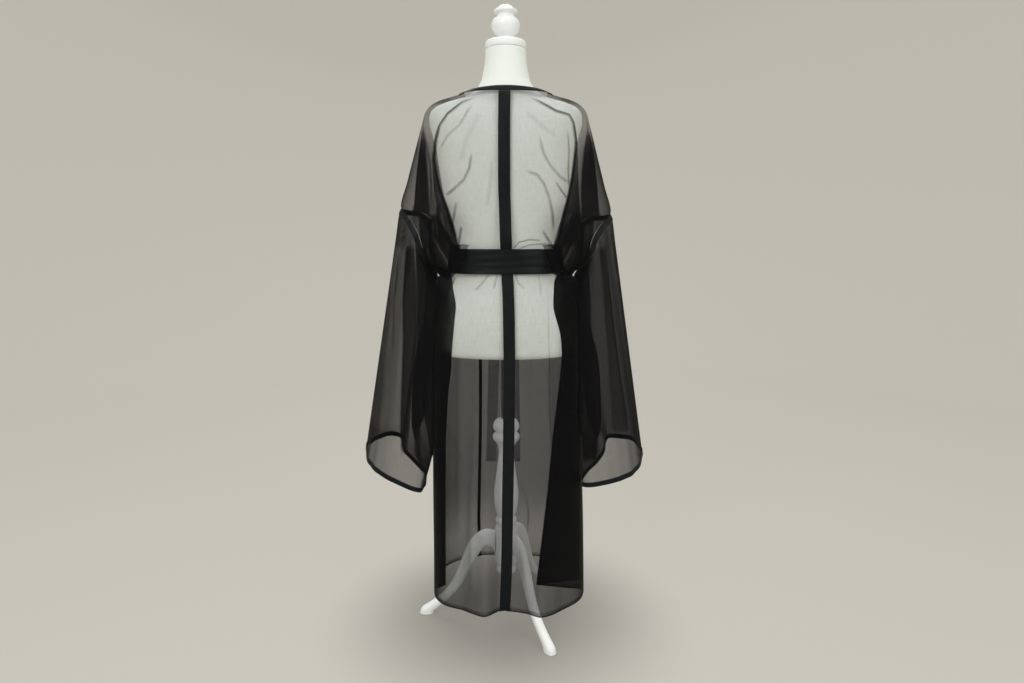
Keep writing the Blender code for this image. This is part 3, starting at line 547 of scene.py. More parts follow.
robe = {
    "clothWall": 0.04,
    "bandWall": 0.08,
    "cadClothWall": 0.12,
    "cadBandWall": 0.1,
    "seamGap": 0.03,
    "bodyClearance": 0.34,
    "overlapLift": 0.4,
    "panelColumns": 10,
    "pleatColumns": 3,
    "sleeveRings": 11,
    "strandSteps": 3,
    "centreBand": 2.7,
    "edgeBand": 1.2,
    "sleeveBand": 1.3,
    "rimGap": 0.02,
    "foldGap": 0.03,
    "pleatStep": 0.36,
    "pleatClearance": 0.7,
    "leastPleat": 0.5,
    "sleeveClearance": 0.5,
    "sleeveStart": 0.13,
    "cuffReach": 60.0,
    "strandFlare": 0.9,
    "underarmReach": 2.5,
    "underarmRoom": 0.16,
    "shoulderEase": 0.1,
    "collarboneEase": 0.62,
    "foldTop": 74.0,
    "rightDrop": 1.4,
    "skirtSpacing": {back: 1.0, front: 1.3},
    "bodySpacing": {back: 0.32, front: 0.6},
    "columnSteps": {back: 12, front: 6},
    "visibleEdgeBand": 0.8,
    "squareness": {"form": 2.0, "skirt": 2.3, "blouse": 2.2, "sleeve": 2.8},
    "armholeSquareness": (2.1, 1.7),
    "shoulderSquareness": (1.6, 2.1),
    "hangingDrop": (0.56, 0.75),
    "dropPower": 1.7,
    "foldPower": 1.3,
    "edgeStripShare": 0.6,
    "overlapStart": (2.6, 0.6),
    "easeStart": (125.0, 130.0),
    "skirtTop": 82,
    "leastSteps": 3,
    "freePleatRows": 3,
    "sleeveSteps": (6, 5),
}

SkirtRow = namedtuple(
    "SkirtRow", "height back front left right foldBack foldFront leftPleat rightPleat pleatBack"
)
skirtRows = listed(SkirtRow, [
    (8.0, 15.6, 17.6, 18.6, 19.9, 3.2, -2.6, 2.6, 12.0, 0.6),
    (20.0, 15.3, 17.3, 18.5, 19.7, 2.9, -2.4, 2.7, 10.6, 1.6),
    (35.0, 14.8, 16.6, 18.5, 19.3, 2.5, -2.1, 3.0, 8.7, 2.8),
    (49.0, 14.0, 15.6, 18.4, 18.6, 2.1, -1.9, 3.3, 6.9, 4.0),
    (60.0, 13.2, 14.6, 18.3, 18.3, 1.8, -1.6, 4.0, 5.5, 5.4),
    (67.0, 12.7, 13.9, 18.3, 18.3, 1.2, -0.9, 4.9, 4.9, 6.5),
    (71.0, 12.5, 13.5, 18.3, 18.3, 0.4, -0.2, 5.3, 4.8, 7.0),
    (76.0, 12.2, 12.8, 18.3, 18.4, 0.3, -0.1, 5.8, 5.4, 7.0),
    (81.0, 11.8, 12.0, 17.8, 18.0, 0.3, -0.1, 5.8, 6.4, 7.0),
    (85.5, 10.8, 11.2, 16.5, 16.6, 0.3, -0.1, 5.1, 5.8, 6.0),
    (88.5, 10.0, 10.4, 14.2, 14.3, 0.4, -0.3, 2.9, 3.6, 4.5),
    (90.2, 9.6, 9.9, 12.7, 12.7, 0.4, -0.3, 1.1, 1.4, 3.0),
    (93.0, 9.4, 9.6, 12.1, 12.1, 0.0, 0.0, 0.0, 0.0, 0.0),
    (95.8, 9.5, 9.8, 12.3, 12.3, 0.0, 0.0, 0.0, 0.0, 0.0),
])
BlouseRow = namedtuple("BlouseRow", "height back front side sideHeight")
blouseRows = listed(BlouseRow, [
    (96.7, 9.8, 10.1, 13.0, 97.1), (97.3, 10.3, 10.5, 14.1, 95.8), (97.8, 10.5, 10.8, 14.7, 90.8),
    (98.4, 10.6, 11.1, 15.7, 90.4), (99.2, 10.6, 11.2, 17.2, 92.1),
])
ArmholeRow = namedtuple("ArmholeRow", "height back frontHeight front backX backY backZ frontX frontY frontZ")
armholeRows = listed(ArmholeRow, [
    (100.4, 10.5, 99.6, 11.3, 18.7, 3.9, 93.6, 18.2, -2.9, 95.4),
    (102.0, 10.4, 101.4, 11.6, 19.9, 5.7, 96.4, 18.5, -4.4, 99.2),
    (104.0, 10.3, 103.4, 11.9, 20.8, 5.9, 99.6, 18.6, -5.0, 103.2),
    (106.2, 10.3, 105.4, 12.1, 22.6, 4.4, 102.8, 21.6, -4.4, 105.4),
])
ShoulderRow = namedtuple("ShoulderRow", "height back frontHeight front lineX lineZ")
shoulderRows = listed(ShoulderRow, [
    (108.6, 10.4, 107.6, 12.2, 25.7, 105.8), (112.0, 10.6, 110.2, 12.2, 24.0, 112.6),
    (116.0, 10.7, 113.0, 12.0, 22.1, 119.4), (120.0, 10.5, 115.6, 11.6, 20.4, 125.4),
    (123.6, 10.1, 117.8, 11.2, 19.4, 128.6), (126.4, 9.5, 119.6, 10.8, 18.0, 130.2),
    (128.8, 8.9, 121.2, 10.4, 15.9, 131.2), (130.8, 8.3, 122.6, 10.0, 13.2, 131.9),
    (132.2, 7.7, 123.6, 9.7, 11.3, 132.4), (133.4, 7.1, 124.4, 9.5, 10.0, 132.9),
])
CentreLine = namedtuple("CentreLine", "height backSeam leftEdge rightEdge")
centreLines = listed(CentreLine, [
    (7.0, 0.3, 7.3, 8.2), (20.0, -0.2, 7.5, 8.4), (50.0, -0.7, 6.8, 7.7), (70.0, -0.9, 6.6, 7.5),
    (84.0, -0.7, 6.3, 7.2), (93.0, -0.2, 6.0, 6.9), (97.5, -0.1, 6.0, 6.4), (104.0, 0.1, 6.3, 3.0),
    (110.0, 0.3, 6.8, -0.8), (116.0, 0.3, 7.6, -4.6), (120.0, 0.3, 8.2, -6.8), (122.6, 0.3, 8.8, -8.3),
    (123.6, 0.3, 9.2, -9.0), (124.4, 0.3, 9.75, -9.7), (133.4, 0.2, 9.75, -9.7),
])
SkirtFold = namedtuple("SkirtFold", "x halfWidth depth")
skirtFolds = listed(SkirtFold, [
    (5.4, 3.0, 1.6), (0.9, 2.4, -2.0), (-3.6, 2.6, -1.3), (-9.4, 4.2, 2.6), (11.5, 2.4, -0.6),
])
CuffPoint = namedtuple("CuffPoint", "x y z")
cuffs = {
    left: {
        back: listed(CuffPoint, [
            (36.1, -0.4, 45.2), (35.2, 3.6, 42.8), (32.6, 6.6, 41.0), (29.4, 8.7, 39.7), (26.0, 9.8, 38.5),
            (23.0, 9.9, 37.1), (21.2, 8.6, 36.3), (20.3, 5.2, 37.2),
        ]),
        front: listed(CuffPoint, [
            (20.3, 5.2, 37.2), (20.9, 1.4, 38.6), (24.0, -3.2, 39.7), (27.6, -7.6, 41.6),
            (28.9, -11.0, 44.8), (31.4, -9.0, 46.0), (34.3, -4.8, 45.9), (36.1, -0.4, 45.2),
        ]),
    },
    right: {
        back: listed(CuffPoint, [
            (35.2, -0.4, 43.6), (34.0, 3.4, 41.2), (31.2, 6.6, 39.8), (28.0, 8.6, 39.2), (24.6, 10.0, 38.8),
            (21.2, 10.6, 38.4), (18.8, 9.6, 38.0), (19.2, 5.4, 38.4),
        ]),
        front: listed(CuffPoint, [
            (19.2, 5.4, 38.4), (21.2, 1.6, 39.4), (24.0, -2.4, 40.4), (26.4, -6.4, 42.0),
            (27.2, -10.2, 44.8), (30.4, -8.8, 45.2), (33.6, -5.4, 45.6), (35.2, -0.4, 43.6),
        ]),
    },
}

SleeveShift = namedtuple("SleeveShift", "leanX leanY foldX")
sleeveShifts = dict(enumerate(listed(SleeveShift, [
    (-0.2, 0.6, 0.0), (-0.6, 1.4, 0.0), (-1.2, 2.6, 0.0), (-1.8, 3.8, 0.0), (-2.1, 4.4, 0.0),
    (-1.5, 3.4, 0.6), (-0.6, 1.6, 1.9), (0.0, 0.4, 2.8), (0.0, 0.0, 1.4), (0.0, 0.0, -2.0),
    (0.0, 0.0, -3.6), (0.0, 0.0, -2.4), (0.0, 0.0, -0.6),
]), 11))
shiftSpans = {"leanIn": (0.0, 0.15), "leanOut": (0.8, 1.0), "foldIn": (0.2, 0.55), "foldOut": (0.75, 1.0)}
sleeveLeans = {left: 1.0, right: 0.6}


# How far out a point lies from the form's axis, 1 on the form itself.
def formReach(x, y, z, room=0.0):
    section = rowAt(formSections, z)
    depth = (section.back if y >= 0 else section.front) + room
    return math.hypot(x / (section.halfWidth + room), y / depth)


# 1 where the cloth lies on the form, 0 where it hangs free of it.
def coverAt(point):
    if point.z > formSections[-1].height:
        return 0.0
    reach = formReach(point.x, point.y, point.z)
    away = (reach - 1) * math.hypot(point.x, point.y) / max(reach, 1e-6)
    return (1 - smoothStep(*formShape["coverAway"], away)) * smoothStep(*formShape["coverStart"], point.z)


def pushedOut(x, y, halfWidth, backDepth, frontDepth, squareness):
    depth = backDepth if y >= 0 else frontDepth
    reach = (abs(x) / halfWidth) ** squareness + (abs(y) / depth) ** squareness
    if reach >= 1 or reach == 0:
        return x, y
    scale = reach ** (-1 / squareness)
    return x * scale, y * scale


def clearOfForm(x, y, z):
    if z > formSections[-1].height:
        return x, y
    sections = [rowAt(formSections, z + step * robe["bodyClearance"]) for step in (-1, 0, 1)]
    ease = robe["shoulderEase"] if y > 0 else robe["collarboneEase"]
    room = robe["bodyClearance"] + ease * smoothStep(*robe["easeStart"], z)
    widest = max(s.halfWidth for s in sections) + room
    backMost = max(s.back for s in sections) + room
    frontMost = max(s.front for s in sections) + room
    return pushedOut(x, y, widest, backMost, frontMost, robe["squareness"]["form"])


Ring = namedtuple("Ring", "backZ frontZ back front edges pleats columns hangs squareness pleatBack")


# The rings of the robe's body from hem to neck.
def bodyRings():
    rings = []
    whole = robe["panelColumns"] + robe["pleatColumns"]
    flat = {left: 0.0, right: 0.0}
    squareness = robe["squareness"]
    for row in skirtRows:
        folded = row.leftPleat > robe["leastPleat"]
        backY, frontY = (row.foldBack, row.foldFront) if folded else (robe["rimGap"], -robe["rimGap"])
        edges = {}
        for side, width in ((left, row.left), (right, row.right)):
            edges[side, back] = (width, backY, row.height)
            edges[side, front] = (width, frontY, row.height)
        pleats = {left: row.leftPleat, right: row.rightPleat}
        columns = robe["panelColumns"] if folded else whole
        sizes = (row.height, row.height, row.back, row.front)
        rings.append(Ring(*sizes, edges, pleats, columns, False, squareness["skirt"], row.pleatBack))
    for row in blouseRows:
        edges = {}
        for side in (left, right):
            for face in (back, front):
                edges[side, face] = (row.side, face * robe["rimGap"], row.sideHeight)
        sizes = (row.height, row.height, row.back, row.front)
        rings.append(Ring(*sizes, edges, flat, whole, True, squareness["blouse"], 0.0))
    for index, row in enumerate(armholeRows):
        drop = robe["rightDrop"] * (index + 1) / (len(armholeRows) + 1)
        edges = {}
        for side, lower in ((left, 0.0), (right, drop)):
            edges[side, back] = (row.backX, row.backY, row.backZ - lower)
            edges[side, front] = (row.frontX, row.frontY, row.frontZ - lower)
        squareness = blend(*robe["armholeSquareness"], index / (len(armholeRows) - 1))
        hangs = index < len(armholeRows) // 2
        sizes = (row.height, row.frontHeight, row.back, row.front)
        rings.append(Ring(*sizes, edges, flat, whole, hangs, squareness, 0.0))
    for index, row in enumerate(shoulderRows):
        drop = robe["rightDrop"] * max(0.0, 1 - index / robe["strandSteps"])
        edges = {}
        for side, lower in ((left, 0.0), (right, drop)):
            for face in (back, front):
                edges[side, face] = (row.lineX, face * robe["foldGap"], row.lineZ - lower)
        squareness = blend(*robe["shoulderSquareness"], index / (len(shoulderRows) - 1))
        sizes = (row.height, row.frontHeight, row.back, row.front)
        rings.append(Ring(*sizes, edges, flat, whole, False, squareness, 0.0))
    return rings


def foldDepth(x, z):
    if z >= robe["foldTop"]:
        return 0.0
    share = (robe["foldTop"] - z) / (robe["foldTop"] - skirtRows[0].height)
    moved = sum(fold.depth * math.exp(-(((x - fold.x) / fold.halfWidth) ** 2)) for fold in skirtFolds)
    return moved * share ** robe["foldPower"]


def pleatPoint(ring, face, own, inward):
    width, edgeY, z = ring.edges[own, face]
    x = width - ring.pleats[own] * inward
    y = blend(edgeY, ring.pleatBack + face * robe["foldGap"], inward)
    if z >= formSections[0].height - robe["bodyClearance"]:
        section = rowAt(formSections, z)
        room = robe["pleatClearance"] + (robe["pleatStep"] if face == back else 0.0)
        share = x / (section.halfWidth + room)
        if share < 1:
            y = max(y, (section.back + room) * math.sqrt(1 - share * share))
    return Vector((own * x, y, z))


def bodyPoint(ring, face, side, turn):
    own = side if turn >= 0 else -side
    if turn > 1:
        return pleatPoint(ring, face, own, turn - 1)
    width, edgeY, edgeZ = ring.edges[own, face]
    middleZ, depth = (ring.backZ, ring.back) if face == back else (ring.frontZ, ring.front)
    angle = abs(turn) * math.pi / 2
    across = math.sin(angle) ** (2 / ring.squareness)
    around = math.cos(angle) ** (2 / ring.squareness)
    drop = smoothStep(*robe["hangingDrop"], across) if ring.hangs else across ** robe["dropPower"]
    x = own * width * across
    y = face * blend(abs(edgeY), depth, around)
    z = blend(middleZ, edgeZ, drop)
    if face == back:
        y += foldDepth(x, z) * around
    x, y = clearOfForm(x, y, z)
    return Vector((x, y, z))


def turnAt(ring, face, side, x):
    own = side if x * side >= 0 else -side
    share = min(abs(x) / ring.edges[own, face][0], 1.0) ** (ring.squareness / 2)
    turn = math.asin(share) * 2 / math.pi
    return turn if own == side else -turn


# A panel's points: a row for each ring, from the centre line or the front edge to the side.
def panelGrid(rings, face, side):
    grid = []
    total = robe["panelColumns"] + robe["pleatColumns"]
    for ring in rings:
        lines = rowAt(centreLines, ring.backZ if face == back else ring.frontZ)
        if face == back:
            startX = lines.backSeam + side * robe["rimGap"]
        else:
            startX = lines.leftEdge if side == left else lines.rightEdge
        strip = robe["centreBand"] / 2 if face == back else robe["edgeBand"]
        start = turnAt(ring, face, side, startX)
        first = turnAt(ring, face, side, startX + side * strip)
        first = min(first, blend(start, 1.0, robe["edgeStripShare"]))
        row = []
        for column in range(total + 1):
            if column == 0:
                turn = start
            elif column <= ring.columns:
                turn = blend(first, 1.0, (column - 1) / (ring.columns - 1))
            else:
                turn = 1 + (column - ring.columns) / (total - ring.columns)
            point = bodyPoint(ring, face, side, turn)
            if face == front and side == right:
                low, high = (lines.leftEdge - away for away in robe["overlapStart"])
                point.y -= robe["overlapLift"] * smoothStep(low, high, point.x)
            row.append(point)
        grid.append(row)
    return grid


# Points at equal steps along a path, its ends included.
def along(path, steps):
    lengths = [0.0]
    for a, b in zip(path, path[1:]):
        lengths.append(lengths[-1] + (b - a).length)
    points = []
    piece = 0
    for step in range(steps + 1):
        reach = lengths[-1] * step / steps
        while piece < len(path) - 2 and lengths[piece + 1] < reach:
            piece += 1
        share = (reach - lengths[piece]) / (lengths[piece + 1] - lengths[piece])
        points.append(path[piece].lerp(path[piece + 1], share))
    return points


def armholeLoop(rings, side):
    first = len(skirtRows) + len(blouseRows) - 1
    last = first + len(armholeRows) + 1
    steps = robe["strandSteps"]
    strands = {}
    for face in (back, front):
        path = [bodyPoint(ring, face, side, 1.0) for ring in rings[first : last + 1]]
        strand = [a.lerp(b, step / steps) for a, b in zip(path, path[1:]) for step in range(steps)]
        strands[face] = strand + [path[-1]]
    return strands[back][::-1][:-1] + strands[front][:-1]


def cuffLoop(side):
    steps = (len(armholeRows) + 1) * robe["strandSteps"]
    paths = {face: along([Vector(p) for p in cuffs[side][face]], steps) for face in (back, front)}
    return [Vector((side * p.x, p.y, p.z)) for p in paths[back][:-1] + paths[front][:-1]]


def clearOfSkirt(side, point):
    if point.z > skirtRows[-3].height:
        return point
    row = rowAt(skirtRows, point.z)
    room = robe["sleeveClearance"]
    width = (row.left if side == left else row.right) + room
    squareness = robe["squareness"]["sleeve"]
    x, y = pushedOut(point.x, point.y, width, row.back + room, row.front + room, squareness)
    return Vector((x, y, point.z))


def sleeveShift(side, column, share):
    if column not in sleeveShifts:
        return Vector((0.0, 0.0, 0.0))
    shift = sleeveShifts[column]
    lean = sleeveLeans[side] * window(shiftSpans["leanIn"], shiftSpans["leanOut"], share)
    fold = window(shiftSpans["foldIn"], shiftSpans["foldOut"], share)
    return Vector((side * (shift.leanX * lean + shift.foldX * fold), shift.leanY * lean, 0.0))


# A sleeve's rings: two along the armhole, a band's width apart, then evenly to the cuff's band.
def sleeveGrid(rings, side):
    upper = armholeLoop(rings, side)
    lower = cuffLoop(side)
    count = len(upper)
    seam = []
    bandEnd = []
    for j in range(count):
        alongEdge = (upper[(j + 1) % count] - upper[j - 1]).normalized()
        down = (lower[j] - upper[j]).normalized()
        down.x += side * robe["strandFlare"] * abs(alongEdge.z)
        away = (down - alongEdge * down.dot(alongEdge)).normalized()
        fromUnderarm = (j - count / 2) / robe["underarmReach"]
        room = robe["sleeveStart"] + robe["underarmRoom"] * math.exp(-fromUnderarm * fromUnderarm)
        seam.append(upper[j] + away * room)
        bandEnd.append(upper[j] + away * (room + robe["sleeveBand"]))
    last = 1 - robe["sleeveBand"] / robe["cuffReach"]
    shares = [last * step / robe["sleeveRings"] for step in range(robe["sleeveRings"] + 1)] + [1.0]
    grid = [seam]
    for share in shares:
        pairs = enumerate(zip(bandEnd, lower))
        grid.append([b.lerp(c, share) + sleeveShift(side, j, share) for j, (b, c) in pairs])
    return [[clearOfSkirt(side, point) for point in ring] for ring in grid]


# A crease is a soft ridge, or a trough below 0, along a line of places (x, z); a fold band lies between
# two edges, with more layers of cloth in it.
Crease = namedtuple("Crease", "depth halfWidth layers line")
FoldBand = namedtuple("FoldBand", "depth layers rows")
backCreases = listed(Crease, [
    (0.3, 0.24, 4.0, [
        (6.2, 130.8), (10.0, 129.7), (13.5, 127.1), (15.4, 124.6), (16.2, 121.2), (16.6, 117.0),
        (16.0, 112.7), (15.1, 109.2), (13.2, 104.1), (12.1, 100.7), (11.0, 96.6),
    ]),
    (0.2, 0.16, 1.45, [
        (19.4, 128.1), (19.7, 124.8), (18.5, 119.8), (17.7, 115.9), (17.5, 111.2), (17.6, 104.0),
    ]),
    (0.15, 0.22, 1.01, [(7.3, 129.8), (10.4, 124.6), (13.5, 122.1), (15.6, 118.8)]),
    (0.25, 0.25, 1.89, [(7.7, 118.4), (8.3, 114.6), (9.6, 112.0), (12.6, 109.4), (14.2, 108.4)]),
    (0.12, 0.45, 0.35, [(3.1, 116.7), (3.5, 110.9), (4.4, 105.3)]),
    (0.15, 0.22, 1.3, [(11.4, 107.2), (12.0, 103.6), (12.6, 100.6)]),
    (0.12, 0.6, 0.3, [(5.6, 127.4), (9.0, 121.0), (10.6, 115.6)]),
    (0.3, 0.24, 4.0, [
        (-5.4, 130.8), (-8.1, 129.5), (-11.6, 127.7), (-14.8, 127.0), (-15.8, 125.4), (-16.4, 121.2),
        (-16.2, 118.1), (-15.6, 112.7), (-14.5, 107.3), (-12.9, 101.4), (-11.7, 96.6),
    ]),
    (0.18, 0.18, 1.45, [(-14.4, 123.8), (-14.8, 118.7), (-14.6, 114.2), (-14.9, 109.6)]),
    (0.2, 0.16, 1.45, [
        (-19.2, 128.7), (-19.5, 123.9), (-18.5, 119.0), (-18.1, 115.1), (-17.9, 110.5), (-18.1, 102.4),
    ]),
    (0.2, 0.25, 1.3, [(-7.6, 122.4), (-8.8, 117.7), (-10.4, 115.1), (-12.8, 112.6), (-15.0, 111.3)]),
    (0.25, 0.27, 1.3, [
        (-4.0, 114.1), (-7.3, 113.0), (-8.9, 111.0), (-10.1, 108.0), (-10.9, 104.1), (-11.2, 99.6),
    ]),
    (0.15, 0.16, 2.17, [(-11.6, 111.6), (-13.1, 109.5), (-14.5, 107.6)]),
    (0.12, 0.5, 0.3, [(-4.2, 127.6), (-8.4, 124.0), (-12.0, 121.6)]),
    (0.2, 0.14, 1.74, [(-1.6, 95.9), (-3.1, 97.6), (-5.4, 98.2), (-8.6, 98.0)]),
    (0.15, 0.13, 1.74, [(-2.6, 95.9), (-5.5, 97.0), (-9.4, 97.3), (-11.2, 96.6)]),
    (0.2, 0.18, 1.89, [(-8.5, 100.4), (-10.2, 98.0), (-11.2, 96.2)]),
    (0.2, 0.22, 1.45, [(10.2, 101.6), (10.9, 98.2), (11.2, 95.6)]),
    (-0.25, 0.45, 1.2, [(11.3, 92.8), (14.5, 96.0), (18.0, 100.2), (20.4, 103.0)]),
    (0.3, 0.4, 1, [(11.3, 91.6), (15.5, 93.0), (19.5, 95.8)]),
    (0.25, 0.4, 1.2, [(11.2, 94.3), (13.3, 98.3), (15.3, 102.6), (16.2, 106.0)]),
    (-0.2, 0.25, 1.45, [(11.1, 95.6), (12.2, 99.3), (13.6, 103.4)]),
    (0.25, 0.25, 1.45, [(12.6, 90.8), (16.6, 91.6), (18.6, 93.0)]),
    (-0.25, 0.45, 1.2, [(-11.0, 91.4), (-14.4, 95.5), (-17.7, 100.2), (-19.6, 103.4)]),
    (0.25, 0.4, 1, [(-11.0, 92.8), (-13.4, 97.3), (-15.8, 101.8), (-16.8, 105.6)]),
    (0.3, 0.4, 1, [(-11.0, 90.8), (-15.3, 92.8), (-20.0, 95.6)]),
    (0.2, 0.22, 1.45, [(-10.9, 93.8), (-12.2, 98.0), (-13.4, 102.6)]),
    (0.0, 0.22, -1.8, [(12.4, 92.0), (15.6, 96.4), (18.6, 100.8)]),
    (0.0, 0.16, -1.6, [(14.2, 90.6), (17.2, 93.4), (19.4, 97.4)]),
    (0.0, 0.14, -1.8, [(12.9, 96.6), (14.4, 101.2), (15.2, 105.0)]),
    (0.0, 0.2, -1.8, [(-12.2, 91.6), (-15.4, 96.2), (-18.4, 101.6)]),
    (0.0, 0.14, -1.6, [(-12.6, 96.6), (-14.2, 101.0), (-15.4, 104.6)]),
    (0.12, 0.18, 1.0, [(1.9, 90.6), (2.4, 88.3), (2.9, 86.6)]),
    (0.12, 0.2, 1.0, [(3.4, 90.6), (6.1, 87.4), (7.2, 86.2)]),
    (0.12, 0.18, 1.0, [(-2.2, 90.6), (-2.8, 88.3), (-4.6, 86.6)]),
    (0.1, 0.14, 0.58, [(-7.6, 90.6), (-8.2, 87.6), (-8.3, 84.6)]),
    (0.15, 0.12, 0.72, [(-9.9, 88.0), (-10.3, 70.2), (-10.2, 64.5), (-10.5, 55.0), (-11.4, 44.3)]),
    (0.1, 0.12, 0.58, [(15.2, 55.8), (12.0, 48.8), (9.8, 44.2)]),
    (0.12, 0.12, 0.72, [(-3.0, 41.8), (-4.8, 37.8), (-5.5, 33.7), (-5.2, 28.0)]),
    (0.2, 0.8, 0, [(6.4, 84.0), (7.0, 60.0), (8.2, 34.0), (8.0, 9.0)]),
    (-0.2, 0.9, 0, [(-6.2, 80.0), (-6.6, 56.0), (-7.4, 30.0), (-7.2, 9.0)]),
])
backBands = listed(FoldBand, [
    (0.15, 2.0, [
        (103.0, 17.8, 22.4), (107.5, 18.1, 21.8), (115.1, 18.5, 21.1), (120.2, 18.8, 20.4),
        (124.4, 19.6, 19.95),
    ]),
    (0.15, 1.6, [
        (96.0, 11.0, 15.0), (100.7, 12.1, 15.8), (104.1, 13.4, 15.9), (109.2, 15.1, 16.7),
        (112.7, 16.0, 17.0), (117.0, 16.6, 17.3), (121.2, 16.2, 16.9), (124.6, 15.4, 15.9),
    ]),
    (0.15, 2.0, [
        (102.4, -22.6, -18.1), (110.5, -21.9, -17.9), (115.1, -21.4, -18.1), (119.0, -21.0, -18.5),
        (123.9, -19.9, -19.3),
    ]),
    (0.15, 1.8, [
        (96.0, -18.0, -11.7), (101.4, -17.8, -12.9), (107.3, -17.3, -14.5), (112.7, -17.0, -15.6),
        (118.1, -16.9, -16.2), (121.2, -16.8, -16.4), (125.4, -16.1, -15.8),
    ]),
    (0.0, 1.9, [
        (87.5, 11.2, 19.0), (93.0, 11.0, 19.5), (96.5, 11.4, 20.0), (100.0, 13.6, 20.4),
        (104.5, 16.6, 20.8),
    ]),
    (0.0, 1.9, [
        (87.5, -20.0, -10.8), (93.0, -20.0, -10.8), (96.5, -20.4, -11.2), (100.0, -20.8, -12.8),
        (104.5, -21.2, -16.0),
    ]),
])
wingBands = listed(FoldBand, [
    (0.0, -0.45, [(101.0, 22.6, 27.0), (107.5, 21.9, 26.5), (115.1, 21.2, 24.5), (124.4, 20.0, 22.0)]),
    (0.0, -0.25, [
        (101.0, -27.0, -22.8), (107.5, -26.5, -22.0), (115.1, -24.5, -21.5), (124.4, -22.0, -20.0),
    ]),
])
frontCreases = listed(Crease, [
    (0.35, 0.9, 0.0, [(8.6, 118.0), (12.6, 108.0), (14.0, 99.0), (12.4, 93.0)]),
    (0.3, 0.8, 0.0, [(-6.4, 116.0), (-10.8, 107.0), (-13.6, 99.0), (-12.0, 93.0)]),
    (0.25, 0.7, 0.2, [(12.8, 126.0), (16.2, 118.0), (18.0, 109.0), (18.4, 101.0)]),
    (0.25, 0.7, 0.2, [(-12.4, 126.0), (-15.8, 118.0), (-17.8, 109.0), (-18.2, 101.0)]),
    (0.2, 0.4, 0.3, [(8.2, 97.6), (9.0, 100.6), (9.4, 105.0)]),
    (0.2, 0.4, 0.3, [(-4.2, 97.6), (-4.6, 101.0), (-4.4, 106.0)]),
    (0.2, 0.4, 0.3, [(-8.4, 97.6), (-9.4, 101.4), (-9.6, 105.0)]),
    (0.15, 0.3, 0.4, [(3.4, 90.0), (4.0, 86.0), (4.2, 80.0)]),
    (0.15, 0.3, 0.4, [(-4.8, 90.0), (-5.6, 85.0), (-5.8, 78.0)]),
    (0.15, 0.3, 0.4, [(9.4, 89.6), (10.4, 85.0), (10.8, 77.0)]),
    (0.5, 1.2, 0.0, [(11.6, 84.0), (12.4, 60.0), (12.8, 34.0), (13.2, 9.0)]),
    (0.5, 1.3, 0.0, [(-10.8, 84.0), (-11.4, 58.0), (-12.6, 34.0), (-13.4, 9.0)]),
    (-0.35, 1.2, 0.0, [(-2.6, 78.0), (-3.0, 54.0), (-3.6, 30.0), (-3.2, 9.0)]),
    (0.4, 1.1, 0.0, [(2.6, 70.0), (2.4, 48.0), (1.8, 26.0), (1.6, 9.0)]),
])
sleeveBands = {
    left: listed(FoldBand, [
        (0.1, 1.9, [
            (46.0, 24.2, 25.6), (51.0, 23.8, 25.6), (60.8, 22.8, 25.1), (73.0, 21.8, 24.6),
            (85.0, 21.9, 24.5), (97.0, 21.8, 23.8),
        ]),
        (0.2, 2.4, [
            (44.0, 14.0, 18.2), (51.9, 14.0, 19.0), (58.4, 14.0, 20.4), (65.8, 14.0, 21.2),
            (73.0, 14.0, 21.6), (85.0, 14.0, 21.7), (98.0, 14.0, 21.5),
        ]),
        (0.1, 1.6, [(40.9, 19.9, 20.6), (46.2, 20.5, 21.5), (60.9, 21.1, 22.2), (70.2, 20.7, 21.6)]),
        (0.0, -0.35, [(51.0, 26.0, 38.0), (60.0, 25.7, 36.0), (75.0, 25.1, 34.0), (97.0, 24.3, 30.0)]),
    ]),
    right: listed(FoldBand, [
        (0.2, 2.6, [
            (44.0, -21.8, -19.0), (50.0, -21.9, -18.6), (64.5, -21.3, -14.0), (84.0, -20.7, -14.0),
            (104.0, -20.2, -14.0),
        ]),
        (0.1, 1.0, [
            (50.0, -30.3, -21.9), (57.0, -29.2, -21.6), (64.0, -28.0, -21.3), (79.0, -25.8, -20.9),
            (97.0, -23.9, -20.4),
        ]),
    ]),
}
sleeveCreases = {
    left: listed(Crease, [
        (0.25, 0.25, 1.0, [(23.6, 98.0), (24.5, 85.0), (24.6, 73.0), (25.1, 60.8), (25.7, 47.0)]),
        (0.2, 0.2, 0.8, [(21.6, 97.0), (22.0, 80.2), (21.8, 70.6), (23.3, 60.8), (24.9, 48.0)]),
        (0.3, 0.9, 0.0, [(27.4, 88.0), (29.6, 68.0), (31.6, 48.0)]),
        (0.12, 0.3, 0.3, [(26.0, 96.0), (27.0, 82.0), (27.6, 70.0)]),
    ]),
    right: listed(Crease, [
        (0.25, 0.22, 1.0, [(-18.4, 100.0), (-19.3, 83.8), (-19.9, 64.5), (-20.5, 48.0)]),
        (0.2, 0.25, 0.9, [(-23.6, 98.0), (-25.8, 78.9), (-28.0, 64.1), (-30.6, 50.0)]),
        (0.2, 0.22, 0.7, [(-25.2, 102.0), (-27.7, 88.4), (-29.9, 72.2), (-32.4, 56.0), (-33.4, 48.0)]),
        (0.3, 0.8, 0.0, [(-22.4, 90.0), (-24.4, 70.0), (-26.2, 48.0)]),
    ]),
}
foldShape = {
    "edge": 0.15,
    "deepestTrough": -0.2,
    "reach": 3.0,
    "boxReach": 2.5,
    "creaseStart": (0.0, 0.16),
    "creaseEnd": (0.84, 1.0),
    "bandStart": 2.5,
    "bandEnd": 1.5,
}


def boxOf(line, room):
    xs, zs = zip(*line)
    return min(xs) - room, max(xs) + room, min(zs) - room, max(zs) + room


